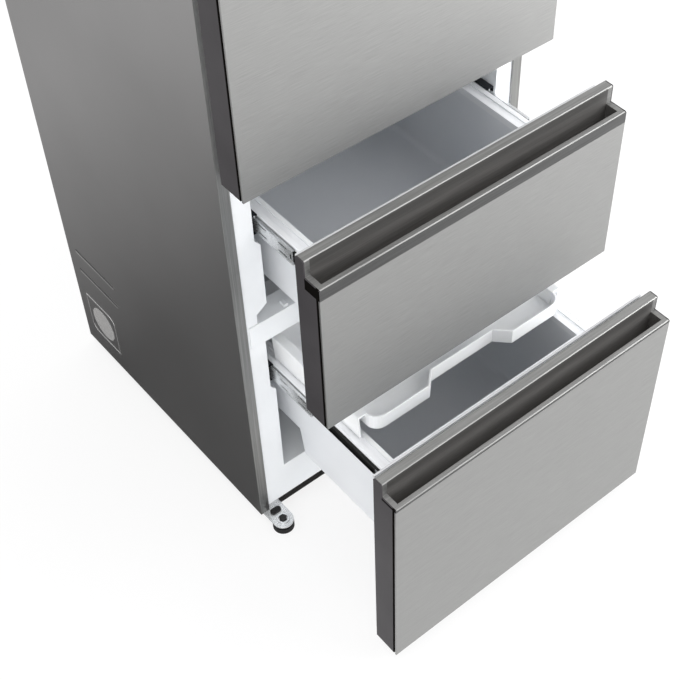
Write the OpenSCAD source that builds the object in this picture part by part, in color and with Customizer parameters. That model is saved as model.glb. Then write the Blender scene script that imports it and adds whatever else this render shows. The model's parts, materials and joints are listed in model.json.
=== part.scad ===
// Fridge freezer: one tall door over two pull-out freezer drawers, shown with both drawers pulled out.
// X runs across the front, Y from front to back and Z up. The origin is on the floor, in the middle
// of the space that the part takes. Inside placed(), y = 0 is the cabinet's front flange and z = 0 is
// the bottom edge of its sides.

/* [Cabinet] */
// Width of the cabinet and of the fronts
cabinet_w = 595; // [580:1:640]
// Height of the cabinet from its bottom edge to its top
cabinet_h = 1867; // [1780:1:1950]
// Depth of the cabinet behind its front flange
cabinet_d = 593; // [580:1:640]
// Height of the cabinet's bottom edge above the floor
floor_gap = 20; // [19:0.5:26]
// Thickness of the painted steel sheet
sheet_t = 0.8; // [0.6:0.1:1.2]
// Width of the front flange that each side is folded into
flange_w = 18.5; // [16:0.5:22]
// Height of the front flange along the top
top_flange_h = 26; // [20:1:34]
// Thickness of the plastic liners
liner_t = 1.5; // [1:0.1:2]
// How far the liners' front face lies behind the steel flange
face_set_back = 3; // [2:0.5:4]
// Height of the stampings and discs above the side panels
stamping_h = 0.8; // [0.5:0.1:1.2]

/* [Fronts] */
// Thickness of the door and of the drawer fronts
front_t = 54; // [50:1:60]
// Gap between a closed front and the cabinet's flange
seal_gap = 10; // [9:0.5:12]
// Height of the lower front's bottom edge above the cabinet's bottom edge
lower_front_z = 10; // [9:0.5:14]
// Height of the lower drawer's front
lower_front_h = 457; // [450:1:465]
// Height of the upper drawer's front
upper_front_h = 327; // [320:1:335]
// Gap between one front and the next
front_gap = 11.5; // [11:0.5:13]
// Depth of the steel face's folded edges
face_fold = 3; // [2.5:0.5:5]
// Width of the dark line between a folded edge and the side caps
shadow_gap = 3; // [2:0.25:4]
// Width of the magnetic gaskets
gasket_w = 9; // [8:0.5:10]
// How far the gaskets stand in from the fronts' sides
gasket_in_x = 9; // [9:0.5:10]
// How far the gaskets stand in from the fronts' bottom
gasket_in_z = 3.5; // [3:0.5:5]
// How far the drawers' gaskets stand below the fronts' top
gasket_top_in = 13; // [11:0.5:14]
// How far the drawers' inner panels stand below the fronts' top
panel_top_in = 11; // [9:0.5:12]

/* [Handle] */
// How far the grip plate lies behind the steel face
plate_set_back = 33; // [30:0.5:36]
// How far the front lip lies below the top of the grip plate
lip_drop = 30; // [26:0.5:34]
// Height of the trim band between the upper drawer's lip and its steel face
upper_band_h = 21; // [17:0.5:25]
// Height of the trim band between the lower drawer's lip and its steel face
lower_band_h = 5; // [3:0.5:25]
// Thickness of the front lip
lip_t = 9.5; // [8:0.5:11]
// Depth of the pocket below the top of the grip plate
pocket_depth = 80; // [72:1:90]
// Thickness of the pocket's end walls
pocket_end_t = 11; // [9:0.5:14]

/* [Drawers] */
// How far the upper drawer is pulled out
upper_pull = 165.5; // [150:0.5:200]
// How far the lower drawer is pulled out
lower_pull = 323.5; // [300:0.5:340]
// Height from a front's top down to its bin's rim
rim_drop = 99; // [96:0.5:104]
// Width of a bin inside its rim
bin_w = 410; // [400:1:412]
// Width across the outside of a bin's rim
rim_w = 463; // [461:0.5:465]
// Distance from the flange back to the front of a bin
bin_front_y = 25; // [22:1:30]
// Length of a bin over its rim
bin_len = 405; // [390:1:410]
// Width of the rim in front of and behind the opening
rim_end_w = 27; // [24:0.5:30]
// Wall thickness of a bin
bin_wall = 2.5; // [2:0.1:3.5]
// Depth of the upper bin
upper_bin_depth = 186; // [170:1:192]
// Depth of the lower bin
lower_bin_depth = 250; // [235:1:255]
// How far the bins' sides lean in over their depth
bin_draft = 4; // [2:0.5:6]
// Distance from the flange back to the step in the lower bin
bin_step_y = 300; // [285:1:305]
// Height of the lower bin's shallow rear floor
bin_step_z = 196; // [192:1:210]

/* [Slides] */
// Height from a bin's rim down to the middle of its slides
slide_drop = 16; // [14.5:0.5:18]
// Height of the fixed member
outer_member_h = 37; // [36.5:0.5:38]
// Height of the middle member
mid_member_h = 28; // [27.5:0.5:28.5]
// Height of the moving member
inner_member_h = 19; // [18.5:0.5:19.5]
// Thickness of the slides' steel
slide_sheet = 1.2; // [1:0.1:1.3]
// Length of the fixed and moving members
slide_len = 440; // [420:1:450]
// Length of the middle member
mid_len = 385; // [370:1:388]
// Balls in each row of a middle member
balls_per_row = 7; // [5:1:9]

/* [Tray] */
// Width inside the sliding tray
tray_w = 412; // [400:1:416]
// Width across the tray's outer lips
tray_lip_w = 444; // [436:1:450]
// Depth of the sliding tray
tray_depth = 27; // [20:1:32]
// Height of the tray's top above the bin's rim
tray_rise = 53; // [46:1:58]
// Length of the tray
tray_len = 270; // [240:1:280]
// Distance from the flange back to the tray when the drawer is closed
tray_y = 96; // [92:1:104]
// Half the width of the hand hold in the tray's front
hold_half_w = 67; // [55:1:80]
// Depth of the hand hold
hold_depth = 24; // [18:1:28]

/* [Door] */
// Gap between the door's top and the top hinge
door_top_drop = 3; // [2:0.5:5]
// Diameter of the hinge pins
hinge_pin_d = 10; // [8:0.5:11]
// Distance from the door's right edge in to the hinge pins
hinge_in = 12.5; // [12:0.25:14]
// Distance from the flange forward to the hinge pins
hinge_out = 35; // [34.5:0.25:37]
// Height of the grip's lower end above the door's bottom
grip_z = 330; // [300:5:500]
// Length of the grip
grip_len = 320; // [250:5:380]
// Depth of the door bins, front to back
door_bin_d = 88; // [75:1:92]
// Height of the door bins' walls
door_bin_h = 70; // [55:1:90]
// Height of the bottle bin's walls
bottle_bin_h = 105; // [90:1:125]

/* [Fridge compartment] */
// Thickness of the side walls round the fridge compartment
fridge_wall = 45; // [42:1:50]
// Thickness of the cabinet's top
top_wall = 50; // [45:1:60]
// Thickness of the back wall
back_wall = 58; // [54:1:62]
// Height of the fridge's floor above the door's bottom edge
fridge_floor_rise = 40; // [36:1:50]
// Thickness of the shelf glass
glass_t = 4; // [3:0.5:5]
// Height of the crisper drawer
crisper_h = 185; // [165:1:200]

/* [Freezer compartment] */
// Thickness of the side walls between the slides
freezer_wall = 62.5; // [62:0.25:63]
// Thickness of the side walls where the slides sit
slide_wall = 52.5; // [52.25:0.25:53]
// Height of the freezer's floor
freezer_floor_z = 98; // [94:1:102]
// Height of the freezer's ceiling below the door's bottom edge
freezer_top_drop = 52; // [48:1:56]
// Height of the step over the compressor
hump_z = 185; // [180:1:187]
// Distance from the flange back to the step over the compressor
hump_y = 326; // [322:1:332]
// Height of the centre rail's front
centre_rail_h = 48; // [44:0.5:50]
// Thickness of the foam over the compressor
hump_foam = 34; // [30:1:38]

/* [Cooling] */
// Diameter of the compressor's shell
compressor_d = 140; // [125:1:146]
// Height of the compressor's shell
compressor_h = 116; // [100:1:124]
// Diameter of the condenser tube
tube_d = 5; // [4:0.5:6]
// Diameter of the fans
fan_d = 92; // [80:1:100]
// Diameter of the fan shafts
fan_shaft_d = 4; // [3:0.5:5]

/* [Feet] */
// Diameter of the levelling feet
foot_d = 40; // [34:1:44]
// Height of the levelling feet
foot_h = 12; // [10:0.5:13]
// Diameter of the feet's studs
stud_d = 10; // [8:0.5:12]
// Width of the foot brackets
foot_plate_w = 39.5; // [36:0.5:42]
// Thickness of the foot brackets
foot_plate_t = 3; // [2.5:0.25:4]
// Distance from the flange forward to the feet
foot_out = 33; // [28:1:38]
// Diameter of the rear rollers
roller_d = 18; // [14:0.5:18.5]
// Width of the rear rollers
roller_w = 18; // [14:1:24]

/* [Hidden] */

$fn = 48;
lower = 0;
upper = 1;
// Clearance between pieces that move past each other
slip = 0.3;
// Radial clearance of the pins and shafts
bore_slip = 0.05;
// Overlap that lets one solid cut or join another cleanly
cut = 1;

// The bins, slides and tray and the step over the compressor grow with the cabinet: their sizes above
// are those for a cabinet of this width and depth
nominal_w = 595;
nominal_d = 593;
wider = cabinet_w - nominal_w;
deeper = cabinet_d - nominal_d;

half_w = cabinet_w / 2;
front_y = -seal_gap - front_t;
front_back_y = -seal_gap;
lower_top_z = lower_front_z + lower_front_h;
upper_front_z = lower_top_z + front_gap;
upper_top_z = upper_front_z + upper_front_h;
door_z = upper_top_z + front_gap;
door_top_z = cabinet_h - door_top_drop;
// Middle of the part's depth with the drawers pulled out
mid_y = (cabinet_d + front_y - lower_pull) / 2;

// Sizes that both drawers share, by drawer
pull = [lower_pull, upper_pull];
drawer_z = [lower_front_z, upper_front_z];
drawer_top = [lower_top_z, upper_top_z];
rim_z = [lower_top_z - rim_drop, upper_top_z - rim_drop];
bin_floor_z = [rim_z[lower] - lower_bin_depth, rim_z[upper] - upper_bin_depth];
slide_z = [rim_z[lower] - slide_drop, rim_z[upper] - slide_drop];
bin_back_y = bin_front_y + bin_len + deeper;

// Freezer and fridge compartments
freezer_half = half_w - freezer_wall;
slide_half = half_w - slide_wall;
freezer_top_z = door_z - freezer_top_drop;
// The centre rail's top stands behind the upper front, this far above its bottom edge
rail_cover = 12.5;
rail_top_z = upper_front_z + rail_cover;
rail_z = rail_top_z - centre_rail_h;
fridge_half = half_w - fridge_wall;
fridge_floor_z = door_z + fridge_floor_rise;
fridge_top_z = cabinet_h - top_wall;
compartment_back_y = cabinet_d - back_wall;
divider_mid_z = (freezer_top_z + fridge_floor_z) / 2;
face_y = face_set_back;
jamb_half = half_w - flange_w;
step_y = hump_y + deeper;
machine_y = step_y + hump_foam;
machine_top_z = hump_z - hump_foam;
machine_depth = cabinet_d - machine_y;
machine_half = half_w - 10;
pan_t = 1.5;
pan_top_z = pan_t;

// Slides, measured outwards from the bin's rim
slide_in_x = (rim_w + wider) / 2;
slide_t = slide_half - slide_in_x;
member_len = slide_len + deeper;
mid_member_len = mid_len + deeper;

// Hinge
hinge_x = half_w - hinge_in;
hinge_y = -hinge_out;

module placed() translate([0, -mid_y, floor_gap]) children();
module pulled(i) placed() translate([0, -pull[i], 0]) children();
module both_sides() {
    children();
    mirror([1, 0, 0]) children();
}
// Box between two opposite corners
module block(low, high) translate(low) cube(high - low);
// Outline in X and Z, run from y0 to y1
module along_y(y0, y1) translate([0, y1, 0]) rotate([90, 0, 0]) linear_extrude(y1 - y0) children();
// Outline in Y and Z, run from x0 to x1
module along_x(x0, x1) translate([x0, 0, 0]) rotate([90, 0, 90]) linear_extrude(x1 - x0) children();
// Rectangle with round corners between two opposite corners
module soft_rect(low, high, r) {
    translate([low[0] + r, low[1]]) square([high[0] - low[0] - 2 * r, high[1] - low[1]]);
    translate([low[0], low[1] + r]) square([high[0] - low[0], high[1] - low[1] - 2 * r]);
    for (x = [low[0] + r, high[0] - r], z = [low[1] + r, high[1] - r]) translate([x, z]) circle(r);
}
// Points of an arc about a centre
function arc(centre, r, from, to, steps = 5) =
    [for (i = [0:steps]) let (a = from + (to - from) * i / steps) centre + r * [cos(a), sin(a)]];

// Side outline of a tub: wide at the top, narrower at its floor, with round lower corners
module tub_outline(half_top, half_floor, z_top, z_floor, r) polygon(concat(
    [[-half_top, z_top]],
    arc([-half_floor + r, z_floor + r], r, 180, 270),
    arc([half_floor - r, z_floor + r], r, 270, 360),
    [[half_top, z_top]]));

// Square with two opposite corners round and two sharp
module leaf_outline(size, r) {
    difference() {
        square(size);
        translate([0, size - r]) square(r);
        translate([size - r, 0]) square(r);
    }
    translate([r, size - r]) circle(r);
    translate([size - r, r]) circle(r);
}

leaf_size = 100;
leaf_r = 20;
leaf_line = 3;
leaf_y = cabinet_d - 131;
leaf_z = 46;
leaf_disc_d = 74;
side_rib_len = 136;
side_rib_h = 9;
side_rib_zs = [209, 259];

// Stampings on one side panel, as an outline in Y and Z
module side_stampings() {
    translate([leaf_y, leaf_z]) difference() {
        leaf_outline(leaf_size, leaf_r);
        translate([leaf_line, leaf_line]) leaf_outline(leaf_size - 2 * leaf_line, leaf_r - leaf_line);
    }
    for (z = side_rib_zs)
        soft_rect([leaf_y + leaf_size - side_rib_len, z], [leaf_y + leaf_size, z + side_rib_h],
            side_rib_h / 2 - 0.1);
}

module outer_shell() color([0.36, 0.36, 0.37]) placed() {
    both_sides() {
        block([half_w - sheet_t, 0, 0], [half_w, cabinet_d, cabinet_h]);
        block([jamb_half, 0, 0], [half_w, sheet_t, cabinet_h]);
        block([jamb_half, 0, 0], [jamb_half + sheet_t, face_y + liner_t, cabinet_h - top_flange_h]);
        along_x(half_w, half_w + stamping_h) side_stampings();
    }
    block([-half_w, 0, cabinet_h - sheet_t], [half_w, cabinet_d, cabinet_h]);
    block([-half_w, 0, cabinet_h - top_flange_h], [half_w, sheet_t, cabinet_h]);
}

module side_discs() color("lightgray") placed() both_sides()
    translate([half_w, leaf_y + leaf_size / 2, leaf_z + leaf_size / 2]) rotate([0, 90, 0])
        cylinder(h = stamping_h, d = leaf_disc_d);

back_rib_n = 6;
module back_panel() color([0.62, 0.63, 0.64]) placed() {
    rib_d = 2;
    block([-half_w + sheet_t, cabinet_d - rib_d - sheet_t, machine_top_z],
        [half_w - sheet_t, cabinet_d - rib_d, cabinet_h - sheet_t]);
    pitch = (cabinet_w - 120) / (back_rib_n - 1);
    for (i = [0:back_rib_n - 1]) translate([(i - (back_rib_n - 1) / 2) * pitch, 0, 0])
        block([-8, cabinet_d - rib_d, machine_top_z + 80], [8, cabinet_d, cabinet_h - 80]);
}

recess_drop = 26;
recess_slope = 12;
rail_seat = 11;
rail_recess_h = 19;
rail_recess_slope = 15;
// Right half of the freezer's opening, grown by g, listed from the floor up
function freezer_side(g) = [
    [freezer_half + g, freezer_floor_z - g],
    [freezer_half + g, slide_z[lower] - recess_drop - recess_slope - g],
    [slide_half + g, slide_z[lower] - recess_drop - g],
    [slide_half + g, rail_z - g],
    [slide_half + rail_seat + g, rail_z - g],
    [slide_half + rail_seat + g, rail_top_z + rail_recess_h + g],
    [freezer_half + g, rail_top_z + rail_recess_h + rail_recess_slope + g],
    [freezer_half + g, slide_z[upper] - recess_drop - recess_slope - g],
    [slide_half + g, slide_z[upper] - recess_drop - g],
    [slide_half + g, freezer_top_z + g]];
module freezer_outline(g) both_sides_2d() polygon(concat([[-cut, freezer_floor_z - g]], freezer_side(g),
    [[-cut, freezer_top_z + g]]));
module both_sides_2d() {
    children();
    mirror([1, 0]) children();
}
hump_lean = 10;
// Space inside the freezer, grown by g
module freezer_space(g, y0) difference() {
    along_y(y0, compartment_back_y + g) freezer_outline(g);
    low_z = freezer_floor_z - 2 * cut - g;
    along_x(-half_w, half_w) polygon([[step_y - hump_lean + g, low_z], [step_y + g, hump_z - g],
        [cabinet_d, hump_z - g], [cabinet_d, low_z]]);
}
liner_r = 18;
// Space inside the fridge compartment, grown by g
module fridge_space(g, y0) along_y(y0, compartment_back_y + g)
    soft_rect([-fridge_half - g, fridge_floor_z - g], [fridge_half + g, fridge_top_z + g], liner_r + g);

sill_foot = 9.5;
module freezer_liner() color("whitesmoke") placed() {
    difference() {
        union() {
            freezer_space(liner_t, face_y);
            block([-jamb_half, face_y, pan_top_z + sill_foot], [jamb_half, face_y + liner_t, divider_mid_z]);
        }
        freezer_space(0, face_y - cut);
    }
    // foot of the sill, folded back over the base strip
    along_x(-jamb_half, jamb_half) polygon([[face_y, pan_top_z + sill_foot],
        [face_y + sill_foot, pan_top_z], [face_y + sill_foot + liner_t, pan_top_z],
        [face_y + liner_t, pan_top_z + sill_foot]]);
}

ledge_w = 7;
ledge_t = 5;
shelf_front_y = 118;
shelf_back_y = compartment_back_y - 34;
crisper_lid_z = fridge_floor_z + crisper_h + 18;
shelf_n = 4;
shelf_pitch = (fridge_top_z - crisper_lid_z) / shelf_n;
shelf_zs = [for (i = [0:shelf_n - 1]) crisper_lid_z + i * shelf_pitch];
module fridge_liner() color("white") placed() {
    difference() {
        union() {
            fridge_space(liner_t, face_y);
            block([-jamb_half, face_y, divider_mid_z],
                [jamb_half, face_y + liner_t, cabinet_h - top_flange_h]);
        }
        fridge_space(0, face_y - cut);
    }
    for (z = shelf_zs) both_sides()
        block([fridge_half - ledge_w, shelf_front_y + 14, z - ledge_t], [fridge_half + liner_t / 2,
            shelf_back_y, z]);
}

module insulation() color("wheat") placed() difference() {
    union() {
        block([-half_w + sheet_t, face_y + liner_t, pan_top_z],
            [half_w - sheet_t, cabinet_d - 2 - sheet_t, cabinet_h - sheet_t]);
        both_sides() block([jamb_half + sheet_t, sheet_t, pan_top_z],
            [half_w - sheet_t, face_y + liner_t, cabinet_h - sheet_t]);
    }
    freezer_space(liner_t, 0);
    fridge_space(liner_t, 0);
    block([-machine_half, machine_y, 0], [machine_half, cabinet_d + cut, machine_top_z]);
    // space for the folded foot of the sill
    along_x(-jamb_half - sheet_t, jamb_half + sheet_t) polygon([[0, 0], [face_y + sill_foot + liner_t, 0],
        [face_y + sill_foot + liner_t, pan_top_z], [face_y + liner_t, pan_top_z + sill_foot],
        [0, pan_top_z + sill_foot]]);
}

rail_face_t = 1.8;
rail_depth = 42;
rail_half = jamb_half - 5;
rail_web_t = 4;
rail_wall = 2.5;
rail_stop_x = 72;
rail_stop_size = [8, 12, 5];
module centre_rail() color("white") placed() {
    block([-rail_half, face_y - rail_face_t, rail_z], [rail_half, face_y, rail_top_z]);
    difference() {
        block([-slide_half - rail_seat, face_y, rail_z], [slide_half + rail_seat, rail_depth, rail_top_z]);
        // hollow back with three webs
        for (i = [-1.5:1:1.5]) translate([i * slide_half / 2, 0, 0])
            block([(rail_web_t - slide_half / 2) / 2, face_y + rail_wall, rail_z + rail_wall],
                [(slide_half / 2 - rail_web_t) / 2, rail_depth + cut, rail_top_z - rail_wall]);
    }
    // stop for the upper drawer
    translate([-rail_half + rail_stop_x, face_y + 2, rail_top_z]) cube(rail_stop_size);
}

strip_half = half_w - 45;
module base_strip() color([0.16, 0.14, 0.13]) placed()
    block([-strip_half, -1, 0], [strip_half, face_y + sill_foot, pan_top_z]);

compressor_in = 105;
compressor_x = half_w - compressor_in;
carrier_half_w = 85;
carrier_half_d = 55;
shroud_gap = 37.5;
shroud_x = compressor_x - carrier_half_w - shroud_gap;
fan_z = (machine_top_z + pan_top_z) / 2;
fan_y = (machine_y + cabinet_d) / 2;
vent_size = [9, 110, pan_t + 2 * cut];
shroud_t = 2;
module base_pan() color([0.5, 0.51, 0.52]) placed() {
    difference() {
        union() {
            block([-half_w + sheet_t, face_y + sill_foot, 0], [half_w - sheet_t, cabinet_d, pan_t]);
            // wall with the condenser fan's opening
            block([shroud_x, machine_y + slip, pan_t],
                [shroud_x + shroud_t, cabinet_d - 6, machine_top_z - slip]);
        }
        translate([shroud_x, fan_y, fan_z]) rotate([0, 90, 0])
            cylinder(h = 3 * cut + shroud_t, d = fan_d + 6, center = true, $fn = 64);
        // vents under the condenser
        for (i = [0:5]) translate([shroud_x - 110 - i * 22, machine_y + 60, -cut]) cube(vent_size);
    }
    translate([shroud_x + shroud_t, fan_y, fan_z]) rotate([0, 90, 0]) fan_mount();
}

// Motor on a bridge behind a fan; the fan turns about Z, below it
mount_post_d = 5;
mount_gap = 20;
mount_post_r = fan_d / 2 + 3 + mount_post_d / 2 + 0.5;
motor_d = 34;
motor_t = 12;
module fan_mount() difference() {
    union() {
        for (a = [0, 180]) rotate([0, 0, a]) {
            translate([0, mount_post_r, -0.1]) cylinder(h = mount_gap + 3.1, d = mount_post_d, $fn = 24);
            block([-4, 0, mount_gap], [4, mount_post_r, mount_gap + 3]);
        }
        translate([0, 0, mount_gap]) cylinder(h = motor_t, d = motor_d);
    }
    translate([0, 0, mount_gap - cut]) cylinder(h = motor_t, d = fan_shaft_d + 2 * bore_slip, $fn = 24);
}
blade_n = 5;
blade_t = 1.6;
blade_pitch = 32;
hub_d = 30;
hub_h = 14;
// Fan below its mount: the hub, the pitched blades and the shaft that runs in the motor
module fan() {
    top = mount_gap - 2;
    translate([0, 0, top - hub_h]) cylinder(h = hub_h, d = hub_d);
    translate([0, 0, top - hub_h]) cylinder(h = hub_h + motor_t - 1, d = fan_shaft_d, $fn = 24);
    intersection() {
        for (i = [0:blade_n - 1]) rotate([0, 0, i * 360 / blade_n])
            translate([hub_d / 2 - 2, 0, top - hub_h / 2]) rotate([blade_pitch, 0, 0])
                block([0, -13, -blade_t / 2], [fan_d, 13, blade_t / 2]);
        cylinder(h = top, d = fan_d, $fn = 64);
    }
}
module condenser_fan() color([0.2, 0.2, 0.21]) placed()
    translate([shroud_x + shroud_t, fan_y, fan_z]) rotate([0, 90, 0]) fan();

foot_x = half_w - 45 + foot_plate_w / 2;
stud_bore_d = stud_d + 2 * bore_slip;
foot_plate_len = 70;
foot_edge_h = 10;
module foot_brackets() color("silver") placed() both_sides() {
    difference() {
        union() {
            block([foot_x - foot_plate_w / 2, -foot_out, -foot_plate_t],
                [foot_x + foot_plate_w / 2, foot_plate_len, 0]);
            translate([foot_x, -foot_out, -foot_plate_t]) cylinder(h = foot_plate_t, d = foot_plate_w);
        }
        translate([foot_x, -foot_out, -foot_plate_t - cut]) cylinder(h = foot_plate_t + 2 * cut,
            d = stud_bore_d);
    }
    // turned-down edge that stiffens the plate
    translate([foot_x - foot_plate_w / 2, 0, -foot_edge_h])
        cube([foot_plate_t, foot_plate_len, foot_edge_h - foot_plate_t]);
}
module foot_plugs() color([0.08, 0.08, 0.08]) placed() both_sides()
    translate([foot_x, -10, 0]) linear_extrude(4) soft_rect([-11, -6], [11, 6], 5.9);

knurl_n = 36;
// Levelling foot: knurled wheel, stud through the bracket, hexagonal head
module foot() {
    translate([0, 0, -floor_gap]) {
        difference() {
            cylinder(h = foot_h, d = foot_d, $fn = 64);
            for (i = [0:knurl_n - 1]) rotate([0, 0, i * 360 / knurl_n])
                translate([foot_d / 2 + 0.4, 0, 1.5]) cylinder(h = foot_h, d = 2.2, $fn = 16);
        }
        cylinder(h = floor_gap + 2, d = stud_d);
    }
    translate([0, 0, slip]) cylinder(h = 5, d = stud_d + 5, $fn = 6);
}
module left_foot() color([0.1, 0.1, 0.1]) placed() translate([-foot_x, -foot_out, 0]) foot();
module right_foot() color([0.1, 0.1, 0.1]) placed() translate([foot_x, -foot_out, 0]) foot();

roller_x = half_w - 70;
roller_y = cabinet_d - 40;
roller_z = roller_d / 2 - floor_gap;
axle_d = 6;
cheek_t = 2;
module roller_brackets() color("silver") placed() both_sides() translate([roller_x, roller_y, 0]) {
    for (x = [-1, 1]) translate([x * (roller_w / 2 + slip + cheek_t / 2), 0, 0])
        block([-cheek_t / 2, -12, roller_z - 5], [cheek_t / 2, 12, 0]);
    translate([0, 0, roller_z]) rotate([0, 90, 0])
        cylinder(h = roller_w + 2 * slip + 2 * cheek_t, d = axle_d, center = true);
}
module roller() translate([0, 0, roller_z]) rotate([0, 90, 0]) difference() {
    cylinder(h = roller_w, d = roller_d, center = true, $fn = 64);
    cylinder(h = roller_w + 2 * cut, d = axle_d + 2 * bore_slip, center = true);
}
module left_roller() color([0.15, 0.15, 0.15]) placed() translate([-roller_x, roller_y, 0]) roller();
module right_roller() color([0.15, 0.15, 0.15]) placed() translate([roller_x, roller_y, 0]) roller();

compressor_y = fan_y;
mount_h = 12;
mount_d = 20;
shell_z = pan_top_z + mount_h;
shell_low_r = 16;
shell_top_r = 30;
seam_h = 5;
seam_w = 2;
carrier_t = 3.1;
terminal_d = 26;
terminal_w = 40;
terminal_z = [40, 78];
stub_len = 26;
stub_d = 8;
module compressor() color([0.12, 0.12, 0.13]) placed() translate([compressor_x, compressor_y, shell_z]) {
    r = compressor_d / 2;
    seam_z = compressor_h * 0.45;
    // drawn shell in two halves with a welded seam
    rotate_extrude($fn = 64) polygon(concat([[0, carrier_t - 0.1]],
        arc([r - shell_low_r, carrier_t - 0.1 + shell_low_r], shell_low_r, -90, 0),
        [[r, seam_z], [r + seam_w, seam_z], [r + seam_w, seam_z + seam_h], [r, seam_z + seam_h]],
        arc([r - shell_top_r, compressor_h - shell_top_r], shell_top_r, 0, 70), [[0, compressor_h]]));
    // carrier plate on the grommets
    linear_extrude(carrier_t)
        soft_rect([-carrier_half_w, -carrier_half_d], [carrier_half_w, carrier_half_d], 12);
    // terminal cover and the two pipe stubs
    block([-r - terminal_d + 10, -terminal_w / 2, terminal_z[0]], [-r + 10, terminal_w / 2, terminal_z[1]]);
    for (a = [55, 125]) rotate([0, 0, a]) translate([r - stub_len + 14, 0, 70]) rotate([0, 90, 0])
        cylinder(h = stub_len, d = stub_d, $fn = 24);
}
module compressor_mounts() color([0.2, 0.2, 0.2]) placed()
    for (x = [-1, 1] * (carrier_half_w - 15), y = [-1, 1] * (carrier_half_d - 13))
        translate([compressor_x + x, compressor_y + y, pan_top_z])
            cylinder(h = mount_h, d = mount_d, $fn = 32);

coil_n = 5;
coil_rows = 4;
coil_pitch = (machine_top_z - 46) / (coil_n - 1);
coil_len = machine_depth - 60;
coil_row_pitch = 26;
coil_gap = 34;
// One row of the condenser: straight runs along Y joined by half rings, on two side plates
module coil_row() {
    for (i = [0:coil_n - 1]) translate([0, 0, i * coil_pitch]) rotate([-90, 0, 0])
        cylinder(h = coil_len, d = tube_d, $fn = 24);
    for (i = [0:coil_n - 2]) translate([0, i % 2 == 0 ? coil_len : 0, (i + 0.5) * coil_pitch])
        rotate([0, 90, 0]) rotate([0, 0, i % 2 == 0 ? 0 : 180]) rotate_extrude(angle = 180, $fn = 48)
            translate([coil_pitch / 2, 0]) circle(d = tube_d, $fn = 24);
}
module condenser_coil() color([0.15, 0.15, 0.16]) placed()
    translate([shroud_x - coil_gap, machine_y + 30, pan_top_z + 18]) {
        for (i = [0:coil_rows - 1]) translate([-i * coil_row_pitch, 0, 0]) coil_row();
        for (y = [coil_len * 0.25, coil_len * 0.75])
            block([-coil_row_pitch * (coil_rows - 1) - 6, y, -18],
                [6, y + 1.5, (coil_n - 1) * coil_pitch + 8]);
    }

drain_pan_h = 44;
drain_pan_wall = 2;
drain_pan_side = 20;
drain_pan_mid = 107.5;
drain_pan_front = 16;
drain_pan_back = 37;
// Outline of the drain pan, grown inwards by g
module drain_pan_plan(g) soft_rect([-half_w + drain_pan_side + g, machine_y + drain_pan_front + g],
    [-drain_pan_mid - g, cabinet_d - drain_pan_back - g], 14 - g);
module drain_pan() color([0.2, 0.2, 0.2]) placed() translate([0, 0, pan_top_z]) difference() {
    linear_extrude(drain_pan_h) drain_pan_plan(0);
    translate([0, 0, drain_pan_wall]) linear_extrude(drain_pan_h) drain_pan_plan(drain_pan_wall);
}

vent_n = 11;
module machine_cover() color([0.3, 0.31, 0.32]) placed() difference() {
    block([-machine_half, cabinet_d - 4, pan_top_z], [machine_half, cabinet_d - 2.8, machine_top_z]);
    for (side = [-1, 1], i = [0:vent_n - 1], row = [0, 1])
        translate([side * (70 + i * 17), 0, 30 + row * 56])
            block([-3, cabinet_d - 6, 0], [3, cabinet_d, 44]);
}

cover_room = 46;
cover_y = bin_back_y + cover_room;
cover_t = 3;
fan_hole_drop = 40;
fan_hole_z = rim_z[upper] - fan_hole_drop;
grille_pitch = 8;
grille_slot_w = 5.2;
return_pitch = 22;
return_size = [14, 5, 12];
return_rise = 14;
return_n = floor((freezer_half - 30) / return_pitch);
module evaporator_cover() color("white") placed() {
    difference() {
        block([-freezer_half + 1, cover_y, hump_z], [freezer_half - 1, cover_y + cover_t, freezer_top_z]);
        // grille in front of the fan
        for (i = [-5:5]) let (x = i * grille_pitch, h = sqrt(pow(fan_d / 2, 2) - pow(x, 2)))
            block([x - grille_slot_w / 2, cover_y - cut, fan_hole_z - h],
                [x + grille_slot_w / 2, cover_y + cover_t + cut, fan_hole_z + h]);
        // return slots at the foot
        for (i = [-return_n:return_n]) translate([i * return_pitch - return_size[0] / 2, cover_y - cut,
            hump_z + return_rise]) cube(return_size);
    }
    // side flanges back to the liner
    both_sides() block([freezer_half - 3, cover_y + cover_t, hump_z], [freezer_half - 1, compartment_back_y,
        freezer_top_z]);
    translate([0, cover_y + cover_t, fan_hole_z]) rotate([-90, 0, 0]) fan_mount();
}
module evaporator_fan() color([0.85, 0.86, 0.88]) placed()
    translate([0, cover_y + cover_t, fan_hole_z]) rotate([-90, 0, 0]) fan();

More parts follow.
